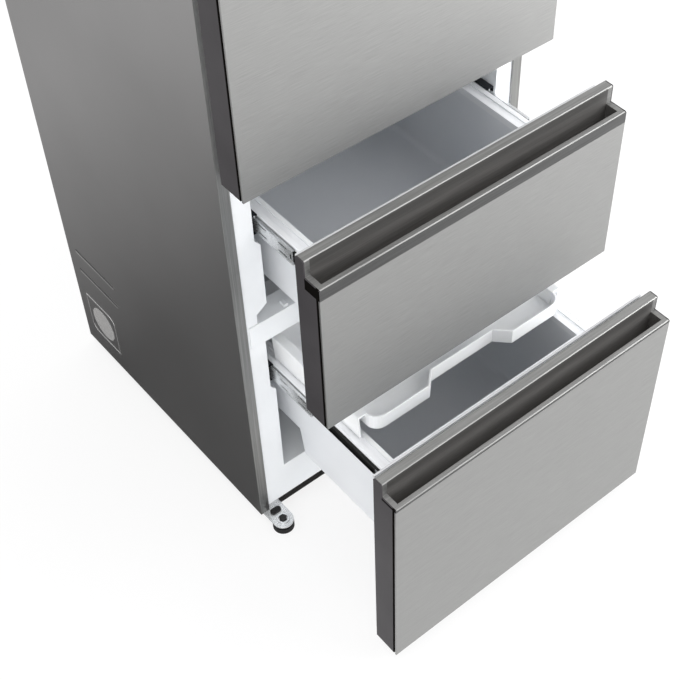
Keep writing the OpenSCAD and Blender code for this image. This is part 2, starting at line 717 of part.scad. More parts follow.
fin_n = 30;
fin_t = 1.2;
fin_in = 14;
fin_gap = 12;
fin_margin = 12;
fin_tube_d = 8;
fin_tube_rows = 5;
fin_tube_pitch = 46;
evaporator_in = 45;
evaporator_rise = 40;
module evaporator() color("silver") placed() {
    w = 2 * (freezer_half - evaporator_in);
    y0 = cover_y + cover_t + fin_gap;
    y1 = compartment_back_y;
    z0 = hump_z + evaporator_rise;
    for (i = [0:fin_n - 1]) translate([-w / 2 + fin_in + i * (w - 2 * fin_in) / (fin_n - 1), 0, 0])
        block([-fin_t / 2, y0, z0 - fin_margin],
            [fin_t / 2, y1, z0 + (fin_tube_rows - 1) * fin_tube_pitch + fin_margin]);
    // tube through the fins, run after run
    translate([0, (y0 + y1) / 2, z0]) {
        for (i = [0:fin_tube_rows - 1]) translate([-w / 2, 0, i * fin_tube_pitch]) rotate([0, 90, 0])
            cylinder(h = w, d = fin_tube_d, $fn = 24);
        for (i = [0:fin_tube_rows - 2])
            translate([i % 2 == 0 ? w / 2 : -w / 2, 0, (i + 0.5) * fin_tube_pitch])
                rotate([90, 0, 0]) rotate([0, 0, i % 2 == 0 ? -90 : 90])
                    rotate_extrude(angle = 180, $fn = 48) translate([fin_tube_pitch / 2, 0])
                        circle(d = fin_tube_d, $fn = 24);
    }
}

duct_t = 22;
duct_w = 180;
duct_r = 16;
duct_low = 30;
duct_high = 60;
outlet_w = 64;
outlet_h = 10;
outlet_d = 14;
module air_duct() color("white") placed() difference() {
    along_y(compartment_back_y - duct_t, compartment_back_y)
        soft_rect([-duct_w / 2, crisper_lid_z + duct_low], [duct_w / 2, fridge_top_z - duct_high], duct_r);
    for (z = shelf_zs, side = [-1, 1])
        translate([side * duct_w / 4, compartment_back_y - duct_t, z + shelf_pitch * 0.7])
            block([-outlet_w / 2, -cut, -outlet_h / 2], [outlet_w / 2, outlet_d, outlet_h / 2]);
}
light_len = 300;
light_w = 40;
light_y = 150;
light_t = 9;
module light_bar() color("aliceblue") placed() block([-light_len / 2, light_y, fridge_top_z - light_t],
    [light_len / 2, light_y + light_w, fridge_top_z]);

hinge_t = 4;
hinge_plate_half = 17;
hinge_eye_r = hinge_in - 3.5;
module hinge_pin(h) cylinder(h = h, d = hinge_pin_d);
pin_bore_d = hinge_pin_d + 2 * bore_slip;
pin_len = 22;
// Arm from the cabinet forward to the pin, as an outline in X and Y
module hinge_arm(back_y) {
    translate([hinge_x, hinge_y]) circle(hinge_eye_r);
    translate([hinge_x - hinge_plate_half, hinge_y])
        square([hinge_plate_half + hinge_eye_r, back_y - hinge_y]);
}
module top_hinge() color("silver") placed() {
    translate([0, 0, cabinet_h]) linear_extrude(hinge_t) hinge_arm(62);
    translate([0, 0, cabinet_h]) linear_extrude(hinge_t) translate([hinge_x - 60, 12]) square([50, 50]);
    translate([hinge_x, hinge_y, cabinet_h - pin_len]) hinge_pin(pin_len + 0.1);
}
hinge_cover_h = 18;
hinge_cover_t = 2;
// Outline of the hinge cover, grown inwards by g
module hinge_cover_plan(g)
    soft_rect([hinge_x - 66 + g, hinge_y - 15 + g], [half_w - 0.5 - g, 68 - g], 9 - g);
module hinge_cover() color([0.2, 0.2, 0.2]) placed() translate([0, 0, cabinet_h]) difference() {
    linear_extrude(hinge_cover_h) hinge_cover_plan(0);
    translate([0, 0, -cut]) linear_extrude(hinge_cover_h - hinge_cover_t + cut)
        hinge_cover_plan(hinge_cover_t);
    // open at the back for the loom
    translate([hinge_x - 50, 60, -cut]) cube([24, 20, 9]);
}
middle_plate_z = upper_top_z + front_gap / 2 - hinge_t / 2;
module middle_hinge() color([0.25, 0.25, 0.26]) placed() {
    translate([0, 0, middle_plate_z]) linear_extrude(hinge_t) hinge_arm(0);
    block([hinge_x - hinge_plate_half, -3, middle_plate_z - 0.5],
        [hinge_x + hinge_eye_r, 0, middle_plate_z + hinge_t + 5]);
    translate([hinge_x, hinge_y, middle_plate_z + hinge_t - 0.1]) hinge_pin(pin_len);
}

shelf_half = fridge_half - 1.5;
module shelf_glass() color([0.8, 0.9, 0.92, 0.5]) placed() for (z = shelf_zs)
    block([-shelf_half, shelf_front_y + 12, z], [shelf_half, shelf_back_y, z + glass_t]);
module shelf_trims() color("white") placed() for (z = shelf_zs) {
    along_x(-shelf_half, shelf_half) translate([shelf_front_y, z])
        polygon([[0, -3], [4, -8], [12, -8], [12, glass_t + 2], [2, glass_t + 2], [0, glass_t]]);
    block([-shelf_half, shelf_back_y, z - 4], [shelf_half, shelf_back_y + 8, z + glass_t + 10]);
}

crisper_half = fridge_half - ledge_w - 6;
crisper_y = shelf_front_y + 6;
crisper_back_y = compartment_back_y - 40;
module crisper() color([0.85, 0.9, 0.93]) placed() difference() {
    union() {
        intersection() {
            along_y(crisper_y, crisper_back_y) tub_outline(crisper_half - 4, crisper_half - 10,
                fridge_floor_z + crisper_h, fridge_floor_z + slip, 10);
            along_x(-fridge_half, fridge_half) polygon([[crisper_y + 6, fridge_floor_z],
                [crisper_y, fridge_floor_z + crisper_h], [crisper_back_y, fridge_floor_z + crisper_h],
                [crisper_back_y - 8, fridge_floor_z]]);
        }
        block([-crisper_half, crisper_y, fridge_floor_z + crisper_h - 4],
            [crisper_half, crisper_back_y, fridge_floor_z + crisper_h]);
        // grip lip along the front
        block([-crisper_half + 40, crisper_y - 14, fridge_floor_z + crisper_h - 4],
            [crisper_half - 40, crisper_y, fridge_floor_z + crisper_h]);
        block([-crisper_half + 40, crisper_y - 14, fridge_floor_z + crisper_h - 22],
            [crisper_half - 40, crisper_y - 12, fridge_floor_z + crisper_h]);
    }
    intersection() {
        along_y(crisper_y + 10, crisper_back_y - 11) tub_outline(crisper_half - 6.5, crisper_half - 12.5,
            fridge_floor_z + crisper_h + cut, fridge_floor_z + 3, 8);
        block([-fridge_half, crisper_y, fridge_floor_z], [fridge_half, crisper_back_y, cabinet_h]);
    }
}

// Fixed, middle and moving members of a slide, measured outwards and up from its middle
module outer_member() {
    h = outer_member_h / 2;
    translate([slide_t - slide_sheet, -h]) square([slide_sheet, 2 * h]);
    for (s = [-1, 1]) mirror([0, s > 0 ? 0 : 1]) {
        translate([1, h - slide_sheet]) square([slide_t - 1, slide_sheet]);
        translate([1, h - slide_sheet - 1.8]) square([slide_sheet, 1.8 + slide_sheet]);
    }
}
mid_flange_w = 4.6;
module mid_member() {
    h = mid_member_h / 2;
    translate([slide_t * 0.4, -h]) square([slide_sheet, 2 * h]);
    for (s = [-1, 1]) mirror([0, s > 0 ? 0 : 1])
        translate([2.6, h - slide_sheet]) square([mid_flange_w, slide_sheet]);
}
module inner_member() {
    h = inner_member_h / 2;
    translate([0, -h]) square([slide_sheet, 2 * h]);
    for (s = [-1, 1]) mirror([0, s > 0 ? 0 : 1])
        translate([0, h - slide_sheet]) square([slide_t * 0.4 - 1, slide_sheet]);
}
inner_ball_gap = (mid_member_h - inner_member_h) / 2 - slide_sheet;
outer_ball_gap = (outer_member_h - mid_member_h) / 2 - slide_sheet;
inner_ball_r = (inner_ball_gap - slip) / 2 + 0.05;
outer_ball_r = (outer_ball_gap - slip) / 2 + 0.05;
inner_ball_z = mid_member_h / 2 - slide_sheet - inner_ball_r + 0.1;
outer_ball_z = mid_member_h / 2 + outer_ball_r - 0.1;
screw_hole_d = 6;
slide_start_y = 8;
// front end of the middle members when closed, lower and upper
mid_start_y = [60, -2];
// Run of one member on both sides of a drawer
module slides(i, y0, y1) both_sides() translate([slide_in_x, 0, slide_z[i]]) along_y(y0, y1) children();
outer_hole_in = 40;
inner_hole_in = 70;
inner_hole_back = 60;
slot_h = 3;
slot_start = 14;
slot_len = 21;
slot_pitch = 50;
slot_z = 8;
catch_start = 3;
catch_end = 7;
catch_h = 10;
ball_start = 95;
ball_end = 30;
inner_ball_x = 3.4;
outer_ball_x = 5.2;
// Row of three fixing holes through a member
module fixing_holes(i, y0, first, last) both_sides() for (y = [first, member_len / 2, member_len - last])
    translate([slide_in_x - cut, y0 + y, slide_z[i]]) rotate([0, 90, 0])
        cylinder(h = slide_t + 2 * cut, d = screw_hole_d, $fn = 24);
module outer_rails(i) difference() {
    slides(i, slide_start_y, slide_start_y + member_len) outer_member();
    fixing_holes(i, slide_start_y, outer_hole_in, outer_hole_in);
}
module mid_rails(i) {
    difference() {
        slides(i, mid_start_y[i], mid_start_y[i] + mid_member_len) mid_member();
        // long slots and the catch slot near the front end
        both_sides() translate([slide_in_x, mid_start_y[i], slide_z[i]]) {
            for (z = [-slot_z, slot_z], y = [slot_start, slot_start + slot_pitch])
                block([2, y, z - slot_h / 2], [slide_t, y + slot_len, z + slot_h / 2]);
            block([2, catch_start, -catch_h / 2], [slide_t, catch_end, catch_h / 2]);
        }
    }
    pitch = (mid_member_len - ball_start - ball_end) / (balls_per_row - 1);
    both_sides() translate([slide_in_x, mid_start_y[i] + ball_start, slide_z[i]])
        for (s = [-1, 1], k = [0:balls_per_row - 1]) {
            translate([inner_ball_x, k * pitch, s * inner_ball_z]) sphere(inner_ball_r, $fn = 20);
            translate([outer_ball_x, k * pitch, s * outer_ball_z]) sphere(outer_ball_r, $fn = 20);
        }
}
module inner_rails(i) difference() {
    slides(i, front_back_y, front_back_y + member_len) inner_member();
    fixing_holes(i, front_back_y, inner_hole_in, inner_hole_back);
}
module upper_outer_rails() color([0.35, 0.36, 0.37]) placed() outer_rails(upper);
module lower_outer_rails() color([0.35, 0.36, 0.37]) placed() outer_rails(lower);
module upper_mid_rails() color("silver") placed() translate([0, -upper_pull / 2, 0]) mid_rails(upper);
module lower_mid_rails() color("silver") placed() translate([0, -lower_pull / 2, 0]) mid_rails(lower);
module upper_inner_rails() color([0.15, 0.15, 0.15]) pulled(upper) inner_rails(upper);
module lower_inner_rails() color([0.15, 0.15, 0.15]) pulled(lower) inner_rails(lower);

cap_t = 2;
panel_t = 2;
arris = 1.5;
// Side outline of a drawer front behind its steel face: low at the lip and tall at the grip plate
module front_side(z0, top) {
    lip_y = front_y + sheet_t;
    plate_y = front_y + plate_set_back;
    back_y = front_back_y - panel_t;
    polygon([[lip_y, z0], [lip_y, top - lip_drop - arris], [lip_y + arris, top - lip_drop],
        [plate_y, top - lip_drop], [plate_y, top - arris], [plate_y + arris, top],
        [back_y - 2 * arris, top], [back_y, top - 2 * arris], [back_y, z0]]);
}
// Pressed steel face of a front, folded back along its sides and bottom
module steel_face(z0, z1) difference() {
    block([-half_w, front_y, z0], [half_w, front_y + face_fold, z1]);
    block([-half_w + sheet_t, front_y + sheet_t, z0 + sheet_t], [half_w - sheet_t, front_y + face_fold + cut,
        z1 + cut]);
}
// Room that the folded edges and the dark line beside them take from the side caps
module fold_room(z0, z1) difference() {
    block([-half_w - cut, front_y, z0 - cut], [half_w + cut, front_y + face_fold + shadow_gap, z1]);
    block([-half_w + shadow_gap, front_y - cut, z0 + shadow_gap], [half_w - shadow_gap, 0, z1 + cut]);
}
// Drop from a front's top to the upper edge of its steel face
skin_drop = [lip_drop + lower_band_h, lip_drop + upper_band_h];
module front_skin(i) steel_face(drawer_z[i], drawer_top[i] - skin_drop[i]);
module front_frame(i) difference() {
    along_x(-half_w, half_w) front_side(drawer_z[i] + sheet_t, drawer_top[i]);
    fold_room(drawer_z[i], drawer_top[i] - skin_drop[i]);
    handle_room(i);
}
module handle_room(i) block([-half_w + cap_t, front_y - cut, drawer_top[i] - pocket_depth - 6],
    [half_w - cap_t, front_back_y - panel_t, drawer_top[i] + cut]);
lip_r = 4;
// Channel of the pocket in Y and Z, with a round floor
module pocket_outline(top) {
    y0 = front_y + lip_t;
    y1 = front_y + plate_set_back;
    floor_z = top - pocket_depth;
    polygon(concat([[y0, top + cut]], arc([y0 + lip_r, floor_z + lip_r], lip_r, 180, 270),
        arc([y1 - lip_r, floor_z + lip_r], lip_r, 270, 360), [[y1, top + cut]]));
}
module handle(i) {
    top = drawer_top[i];
    difference() {
        union() {
            along_x(-half_w + cap_t, half_w - cap_t) front_side(top - pocket_depth - 6, top);
            // trim band, level with the steel face
            block([-half_w, front_y, top - skin_drop[i]],
                [half_w, front_y + sheet_t, top - lip_drop - arris]);
        }
        along_x(-half_w + pocket_end_t, half_w - pocket_end_t) pocket_outline(top);
    }
}
module panel_outline(i)
    soft_rect([-half_w + 5, drawer_z[i] + 1.5], [half_w - 5, drawer_top[i] - panel_top_in], 4);
dyke_half = freezer_half - 9;
dyke_r = 24;
module inner_panel(i) {
    along_y(front_back_y - panel_t, front_back_y) panel_outline(i);
    // raised middle that fills the compartment's mouth
    along_y(front_back_y, bin_front_y - 1)
        soft_rect([-dyke_half, bin_floor_z[i] + 4], [dyke_half, rim_z[i] - 30], dyke_r);
    // brackets that carry the slides
    both_sides() block([slide_in_x - 8, front_back_y, slide_z[i] - inner_member_h / 2],
        [slide_in_x, bin_front_y - 1, slide_z[i] + inner_member_h / 2 - 6]);
}
// Ring of gasket with a fold along its outside
module seal_ring(low_z, high_z) difference() {
    x = half_w - gasket_in_x;
    block([-x, front_back_y, low_z], [x, -slip, high_z]);
    block([-x + gasket_w, front_back_y - cut, low_z + gasket_w], [x - gasket_w, cut, high_z - gasket_w]);
    difference() {
        block([-x - cut, front_back_y + 3.5, low_z - cut], [x + cut, front_back_y + 6, high_z + cut]);
        block([-x + 3, front_back_y, low_z + 3], [x - 3, 0, high_z - 3]);
    }
}
module gasket(i) seal_ring(drawer_z[i] + gasket_in_z, drawer_top[i] - gasket_top_in);

rim_t = 4;
skirt_h = 12;
groove_in = 8;
groove_w = 9;
groove_d = 2;
gusset_pitch = 62;
bin_r = 14;
bin_half = (bin_w + wider) / 2;
// Side outline of a bin's tub, grown inwards by g; the lower one steps up behind
module bin_side(i, g) {
    y0 = bin_front_y + rim_end_w - bin_wall + g;
    y1 = bin_back_y - rim_end_w + bin_wall - g;
    z0 = bin_floor_z[i] + g;
    top = rim_z[i] + (g > 0 ? cut : 0);
    step = bin_step_y + deeper - g;
    if (i == lower) polygon([[y0, top], [y0 + 4, z0], [step, z0], [step + hump_lean, bin_step_z + g],
        [y1 - 3, bin_step_z + g], [y1, top]]);
    else polygon([[y0, top], [y0 + 4, z0], [y1 - 4, z0], [y1, top]]);
}
// Tub of a bin, grown inwards by g
module tub(i, g) {
    half_top = bin_half + bin_wall - g;
    top = rim_z[i] + (g > 0 ? cut : 0);
    intersection() {
        along_y(bin_front_y, bin_back_y)
            tub_outline(half_top, half_top - bin_draft, top, bin_floor_z[i] + g, bin_r - g);
        along_x(-half_w, half_w) bin_side(i, g);
    }
}
module bin(i) {
    top = rim_z[i];
    difference() {
        union() {
            tub(i, 0);
            along_y(bin_front_y, bin_back_y) polygon([[-slide_in_x, top - skirt_h], [-slide_in_x, top - 1],
                [-slide_in_x + 1, top], [slide_in_x - 1, top], [slide_in_x, top - 1], [slide_in_x,
                    top - skirt_h]]);
        }
        tub(i, bin_wall);
        // hollow under the rim, outside the tub
        difference() {
            block([-slide_in_x + 2, bin_front_y + 2, top - skirt_h - cut], [slide_in_x - 2, bin_back_y - 2,
                top - rim_t]);
            tub(i, 0);
            both_sides() for (y = [bin_front_y + rim_end_w:gusset_pitch:bin_back_y - rim_end_w])
                along_y(y, y + 2) polygon([[bin_half, top], [slide_in_x, top],
                    [slide_in_x, top - skirt_h + 3], [bin_half, top - skirt_h - 6]]);
        }
        // channel along the rim's sides
        both_sides() block([bin_half + groove_in, bin_front_y + 12, top - groove_d],
            [bin_half + groove_in + groove_w, bin_back_y - 12, top + cut]);
    }
}

tray_wall = 2.2;
tray_top_z = rim_z[lower] + tray_rise;
tray_half = (tray_w + wider) / 2;
tray_lip_half = (tray_lip_w + wider) / 2;
tray_back_y = tray_y + tray_len + deeper;
tray_foot_x = bin_half + groove_in + groove_w / 2;
tray_lean = 6;
tray_r = 22;
// Half outline of the tray in X and Z: floor, sloping wall, lip and the skirt that runs in the rim's channel
module tray_half_outline() {
    floor_z = tray_top_z - tray_depth;
    foot_z = rim_z[lower] - groove_d + slip;
    under_z = tray_top_z - tray_wall - 2;
    polygon([[-cut, floor_z], [tray_half - tray_lean, floor_z], [tray_half, tray_top_z - 2],
        [tray_half, tray_top_z], [tray_lip_half - arris, tray_top_z], [tray_lip_half, tray_top_z - arris],
        [tray_lip_half, tray_top_z - 6], [tray_foot_x + 1.4, foot_z], [tray_foot_x - 1.4, foot_z],
        [tray_lip_half - tray_wall - 0.6, under_z], [tray_half + tray_wall, under_z],
        [tray_half - tray_lean + tray_wall, floor_z - tray_wall], [-cut, floor_z - tray_wall]]);
}
// Front of the tray seen from above, with the hand hold, grown inwards by g
module tray_plan(g) {
    half = tray_half - g;
    y0 = tray_y + g;
    y1 = tray_back_y - g;
    hold = hold_half_w + hold_depth;
    polygon(concat(
        arc([-half + tray_r, y0 + tray_r], tray_r, 180, 270),
        [[-hold - g, y0], [-hold_half_w - g, y0 + hold_depth],
            [hold_half_w + g, y0 + hold_depth], [hold + g, y0]],
        arc([half - tray_r, y0 + tray_r], tray_r, 270, 360),
        arc([half - tray_r, y1 - tray_r], tray_r, 0, 90),
        arc([-half + tray_r, y1 - tray_r], tray_r, 90, 180)));
}
module lower_tray() color("white") pulled(lower) {
    floor_z = tray_top_z - tray_depth;
    // sides with their skirts
    both_sides() difference() {
        along_y(tray_y + tray_r, tray_back_y - tray_r) tray_half_outline();
        block([-cut - half_w, 0, floor_z - 20], [tray_half - 2 * tray_lean, cabinet_d, tray_top_z + cut]);
    }
    // floor and the upright rim round it
    translate([0, 0, floor_z - tray_wall]) linear_extrude(tray_wall) tray_plan(0);
    difference() {
        translate([0, 0, floor_z - tray_wall]) linear_extrude(tray_depth + tray_wall) tray_plan(0);
        translate([0, 0, floor_z - tray_wall - cut]) linear_extrude(tray_depth + tray_wall + 2 * cut)
            tray_plan(tray_wall);
    }
}

module door_skin() color("silver") placed() difference() {
    steel_face(door_z, door_top_z);
    grip_room();
}
// Recess for the grip, open at the door's left edge
module grip_room() block([-half_w - cut, front_y + lip_t - 4, door_z + grip_z],
    [-half_w + 36, front_y + plate_set_back + 4, door_z + grip_z + grip_len]);
module door_frame() color([0.33, 0.32, 0.32]) placed() difference() {
    block([-half_w, front_y + sheet_t, door_z + sheet_t], [half_w, front_back_y - panel_t, door_top_z]);
    fold_room(door_z, door_top_z + cut);
    grip_room();
    for (z = [door_z - cut, door_top_z - pin_len]) translate([hinge_x, hinge_y, z])
        cylinder(h = pin_len + cut, d = pin_bore_d);
}
module door_handle() color([0.2, 0.2, 0.2]) placed() translate([0, 0, door_z + grip_z]) difference() {
    block([-half_w, front_y + lip_t - 4, 0], [-half_w + 36, front_y + plate_set_back + 4, grip_len]);
    translate([0, 0, 8]) linear_extrude(grip_len - 16) polygon(concat(
        [[-half_w - cut, front_y + lip_t], [-half_w + 24, front_y + lip_t]],
        arc([-half_w + 24, front_y + lip_t + 8], 8, -90, 0),
        arc([-half_w + 24, front_y + plate_set_back - 8], 8, 0, 90),
        [[-half_w - cut, front_y + plate_set_back]]));
}
door_dyke_half = fridge_half - 7;
door_dyke_d = seal_gap + 26;
door_dyke_w = 24;
door_recess_r = 10;
door_pan_low_z = fridge_floor_z + 8;
door_pan_high_z = fridge_top_z - 8;
// Heights of the door bins' floors above the door's inner pan
door_bin_zs = [for (f = [0.36, 0.68]) door_pan_low_z + f * (door_pan_high_z - door_pan_low_z)];
door_bin_half = door_dyke_half - door_dyke_w - 1;
module door_liner() color("white") placed() difference() {
    union() {
        along_y(front_back_y - panel_t, front_back_y)
            soft_rect([-half_w + 5, door_z + 1.5], [half_w - 5, door_top_z - 1.5], 4);
        // raised band round the bins
        along_y(front_back_y, front_back_y + door_dyke_d)
            soft_rect([-door_dyke_half, door_pan_low_z], [door_dyke_half, door_pan_high_z], liner_r);
    }
    along_y(front_back_y, front_back_y + door_dyke_d + cut)
        soft_rect([-door_dyke_half + door_dyke_w, door_pan_low_z + door_dyke_w],
            [door_dyke_half - door_dyke_w, door_pan_high_z - door_dyke_w], door_recess_r);
}
module door_gasket() color([0.8, 0.8, 0.8]) placed()
    seal_ring(door_z + gasket_in_z, door_top_z - gasket_in_z);

// Open bin that hooks between the door's raised bands
module door_bin(z, h) difference() {
    y0 = front_back_y + slip;
    y1 = front_back_y + door_bin_d;
    translate([0, 0, z]) linear_extrude(h) soft_rect([-door_bin_half, y0], [door_bin_half, y1], 14);
    translate([0, 0, z + 2.5]) linear_extrude(h) soft_rect([-door_bin_half + 2.5, y0 + 2.5],
        [door_bin_half - 2.5, y1 - 2.5], 11.5);
    // low front edge between the corners
    block([-door_bin_half + 50, y1 - 10, z + h * 0.8], [door_bin_half - 50, y1 + cut, z + h + cut]);
}
module door_bins() color([0.85, 0.9, 0.93]) placed() for (z = door_bin_zs) door_bin(z, door_bin_h);
module bottle_bin() color([0.85, 0.9, 0.93]) placed()
    door_bin(door_pan_low_z + door_dyke_w + door_recess_r, bottle_bin_h);

module upper_front_skin() color("silver") pulled(upper) front_skin(upper);
module lower_front_skin() color("silver") pulled(lower) front_skin(lower);
module upper_front_frame() color([0.33, 0.32, 0.32]) pulled(upper) front_frame(upper);
module lower_front_frame() color([0.33, 0.32, 0.32]) pulled(lower) front_frame(lower);
module upper_handle() color([0.25, 0.25, 0.25]) pulled(upper) handle(upper);
module lower_handle() color([0.25, 0.25, 0.25]) pulled(lower) handle(lower);
module upper_inner_panel() color("white") pulled(upper) inner_panel(upper);
module lower_inner_panel() color("white") pulled(lower) inner_panel(lower);
module upper_gasket() color([0.8, 0.8, 0.8]) pulled(upper) gasket(upper);
module lower_gasket() color([0.8, 0.8, 0.8]) pulled(lower) gasket(lower);
module upper_bin() color("white") pulled(upper) bin(upper);
module lower_bin() color("white") pulled(lower) bin(lower);

outer_shell();
side_discs();
back_panel();
insulation();
fridge_liner();
freezer_liner();
centre_rail();
base_strip();
base_pan();
foot_brackets();
foot_plugs();
roller_brackets();
compressor();
compressor_mounts();
condenser_coil();
drain_pan();
machine_cover();
evaporator();
evaporator_cover();
air_duct();
light_bar();
top_hinge();
hinge_cover();
middle_hinge();
shelf_glass();
shelf_trims();
upper_outer_rails();
lower_outer_rails();
left_foot();
right_foot();
left_roller();
right_roller();
evaporator_fan();
condenser_fan();
crisper();
door_skin();
door_frame();
door_handle();
door_liner();
door_gasket();
door_bins();
bottle_bin();
upper_front_skin();
upper_front_frame();
upper_handle();
upper_inner_panel();
upper_gasket();
upper_bin();
upper_inner_rails();
upper_mid_rails();
lower_front_skin();
lower_front_frame();
lower_handle();
lower_inner_panel();
lower_gasket();
lower_bin();
lower_inner_rails();
lower_mid_rails();
lower_tray();
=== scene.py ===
import json
import math

import bmesh
import bpy
from mathutils import Euler, Matrix, Vector


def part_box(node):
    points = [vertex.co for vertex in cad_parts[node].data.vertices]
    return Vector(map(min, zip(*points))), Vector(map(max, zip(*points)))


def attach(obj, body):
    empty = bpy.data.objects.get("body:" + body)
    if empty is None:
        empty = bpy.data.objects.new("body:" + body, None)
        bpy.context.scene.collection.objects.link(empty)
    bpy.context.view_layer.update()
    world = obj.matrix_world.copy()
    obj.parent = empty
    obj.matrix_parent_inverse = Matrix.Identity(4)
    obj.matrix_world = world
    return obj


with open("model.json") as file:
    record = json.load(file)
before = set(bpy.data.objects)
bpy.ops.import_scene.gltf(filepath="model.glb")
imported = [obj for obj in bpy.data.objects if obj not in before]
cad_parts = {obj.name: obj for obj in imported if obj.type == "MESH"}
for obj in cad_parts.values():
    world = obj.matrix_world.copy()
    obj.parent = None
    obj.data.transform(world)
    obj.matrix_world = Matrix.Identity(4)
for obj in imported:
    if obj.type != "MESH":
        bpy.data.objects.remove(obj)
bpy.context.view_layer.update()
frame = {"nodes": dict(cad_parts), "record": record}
nodes = frame["nodes"]
print("CAD frame loaded:", len(nodes), "nodes")

# Camera at the photograph's viewing angle, for a square picture
cameraLook = {
    "place": (-1.0192, -1.3512, 2.0845),
    "turn": (41.182, -0.978, -41.029),
    "lens": 70.96,
    "sensor": 36,
    "shift": (-0.1309, 0.0262),
    "farClip": 100,
}
lens = bpy.data.cameras.new("camera")
lens.lens = cameraLook["lens"]
lens.sensor_width = cameraLook["sensor"]
lens.shift_x, lens.shift_y = cameraLook["shift"]
lens.clip_end = cameraLook["farClip"]
camera = bpy.data.objects.new("camera", lens)
camera.location = cameraLook["place"]
camera.rotation_euler = Euler([math.radians(a) for a in cameraLook["turn"]])
bpy.context.scene.collection.objects.link(camera)
bpy.context.scene.camera = camera
print("camera set")


displayGamma = 2.2


# Shades are written as screen values from 0 to 255
def linear(shade):
    return tuple((c / 255) ** displayGamma for c in shade) + (1.0,)


def linearPair(shades):
    return linear(shades[0]), linear(shades[1])


def newFinish(name):
    material = bpy.data.materials.new(name)
    material.use_nodes = True
    tree = material.node_tree
    place = tree.nodes.new("ShaderNodeTexCoord").outputs["Object"]
    return material, tree, tree.nodes["Principled BSDF"], place


def noiseOn(tree, place, stretch, detail=3.0, grain=0.5):
    mapping = tree.nodes.new("ShaderNodeMapping")
    mapping.inputs["Scale"].default_value = stretch
    tree.links.new(place, mapping.inputs["Vector"])
    noise = tree.nodes.new("ShaderNodeTexNoise")
    noise.inputs["Scale"].default_value = 1.0
    noise.inputs["Detail"].default_value = detail
    noise.inputs["Roughness"].default_value = grain
    tree.links.new(mapping.outputs["Vector"], noise.inputs["Vector"])
    return noise.outputs["Fac"]


def mixColours(tree, factor, first, second):
    mix = tree.nodes.new("ShaderNodeMix")
    mix.data_type = "RGBA"
    tree.links.new(factor, mix.inputs["Factor"])
    for socket, colour in ((mix.inputs[6], first), (mix.inputs[7], second)):
        if isinstance(colour, tuple):
            socket.default_value = colour
        else:
            tree.links.new(colour, socket)
    return mix.outputs[2]


# Maps a noise, whose values lie mostly from 0.3 to 0.7, to a range
def spread(tree, value, low, high, fromLow=0.3, fromHigh=0.7):
    scaled = tree.nodes.new("ShaderNodeMapRange")
    scaled.inputs["From Min"].default_value = fromLow
    scaled.inputs["From Max"].default_value = fromHigh
    scaled.inputs["To Min"].default_value = low
    scaled.inputs["To Max"].default_value = high
    tree.links.new(value, scaled.inputs["Value"])
    return scaled.outputs["Result"]


def byMask(tree, mask, outside, inside):
    return spread(tree, mask, outside, inside, fromLow=0, fromHigh=1)


def mathNode(tree, operation, *values):
    node = tree.nodes.new("ShaderNodeMath")
    node.operation = operation
    for socket, value in zip(node.inputs, values):
        if isinstance(value, (int, float)):
            socket.default_value = value
        else:
            tree.links.new(value, socket)
    return node.outputs[0]


# One inside the box and zero outside it, with an axis left open where either bound is None
def insideBox(tree, place, low, high):
    split = tree.nodes.new("ShaderNodeSeparateXYZ")
    tree.links.new(place, split.inputs[0])
    inside = None
    for axis in range(3):
        if low[axis] is None or high[axis] is None:
            continue
        middle = (low[axis] + high[axis]) / 2
        half = (high[axis] - low[axis]) / 2
        step = mathNode(tree, "COMPARE", split.outputs[axis], middle, half)
        inside = step if inside is None else mathNode(tree, "MULTIPLY", inside, step)
    return inside


def roundedNormal(tree, radius):
    bevel = tree.nodes.new("ShaderNodeBevel")
    bevel.inputs["Radius"].default_value = radius
    return bevel.outputs["Normal"]


def bumpOn(tree, shader, height, strength, distance, edge=None):
    bump = tree.nodes.new("ShaderNodeBump")
    bump.inputs["Strength"].default_value = strength
    bump.inputs["Distance"].default_value = distance
    tree.links.new(height, bump.inputs["Height"])
    if edge:
        tree.links.new(roundedNormal(tree, edge), bump.inputs["Normal"])
    tree.links.new(bump.outputs["Normal"], shader.inputs["Normal"])


common = {
    "patch": 9,
    "grain": 900,
    "bump": 0.15,
    "relief": 0.0002,
    "coatRoughness": 0.15,
    "depthRadius": (0.006, 0.006, 0.007),
    "ior": 1.46,
    "specular": 0.5,
}


# One finish: two shades mixed by a noise, with its roughness and bump from a finer noise
def plainFinish(name, ownLook):
    look = {**common, **ownLook}
    material, tree, shader, place = newFinish(name)
    clouds = noiseOn(tree, place, (look["patch"],) * 3, detail=4.0)
    colour = mixColours(tree, spread(tree, clouds, 0, 1), *linearPair(look["shades"]))
    if "facing" in look:
        shade, low, high = look["facing"]
        colour = mixColours(tree, insideBox(tree, place, low, high), colour, linear(shade))
    tree.links.new(colour, shader.inputs["Base Color"])
    grain = noiseOn(tree, place, (look["grain"],) * 3, detail=2.0)
    tree.links.new(spread(tree, grain, *look["roughness"]), shader.inputs["Roughness"])
    bumpOn(tree, shader, grain, look["bump"], look["relief"], look.get("edge"))
    shader.inputs["Metallic"].default_value = look.get("metallic", 0.0)
    shader.inputs["Coat Weight"].default_value = look.get("coat", 0.0)
    shader.inputs["Coat Roughness"].default_value = look["coatRoughness"]
    shader.inputs["Transmission Weight"].default_value = look.get("transmission", 0.0)
    shader.inputs["Subsurface Weight"].default_value = look.get("depth", 0.0)
    shader.inputs["Subsurface Radius"].default_value = look["depthRadius"]
    shader.inputs["Subsurface Scale"].default_value = 1.0
    shader.inputs["IOR"].default_value = look["ior"]
    shader.inputs["Specular IOR Level"].default_value = look["specular"]
    return material


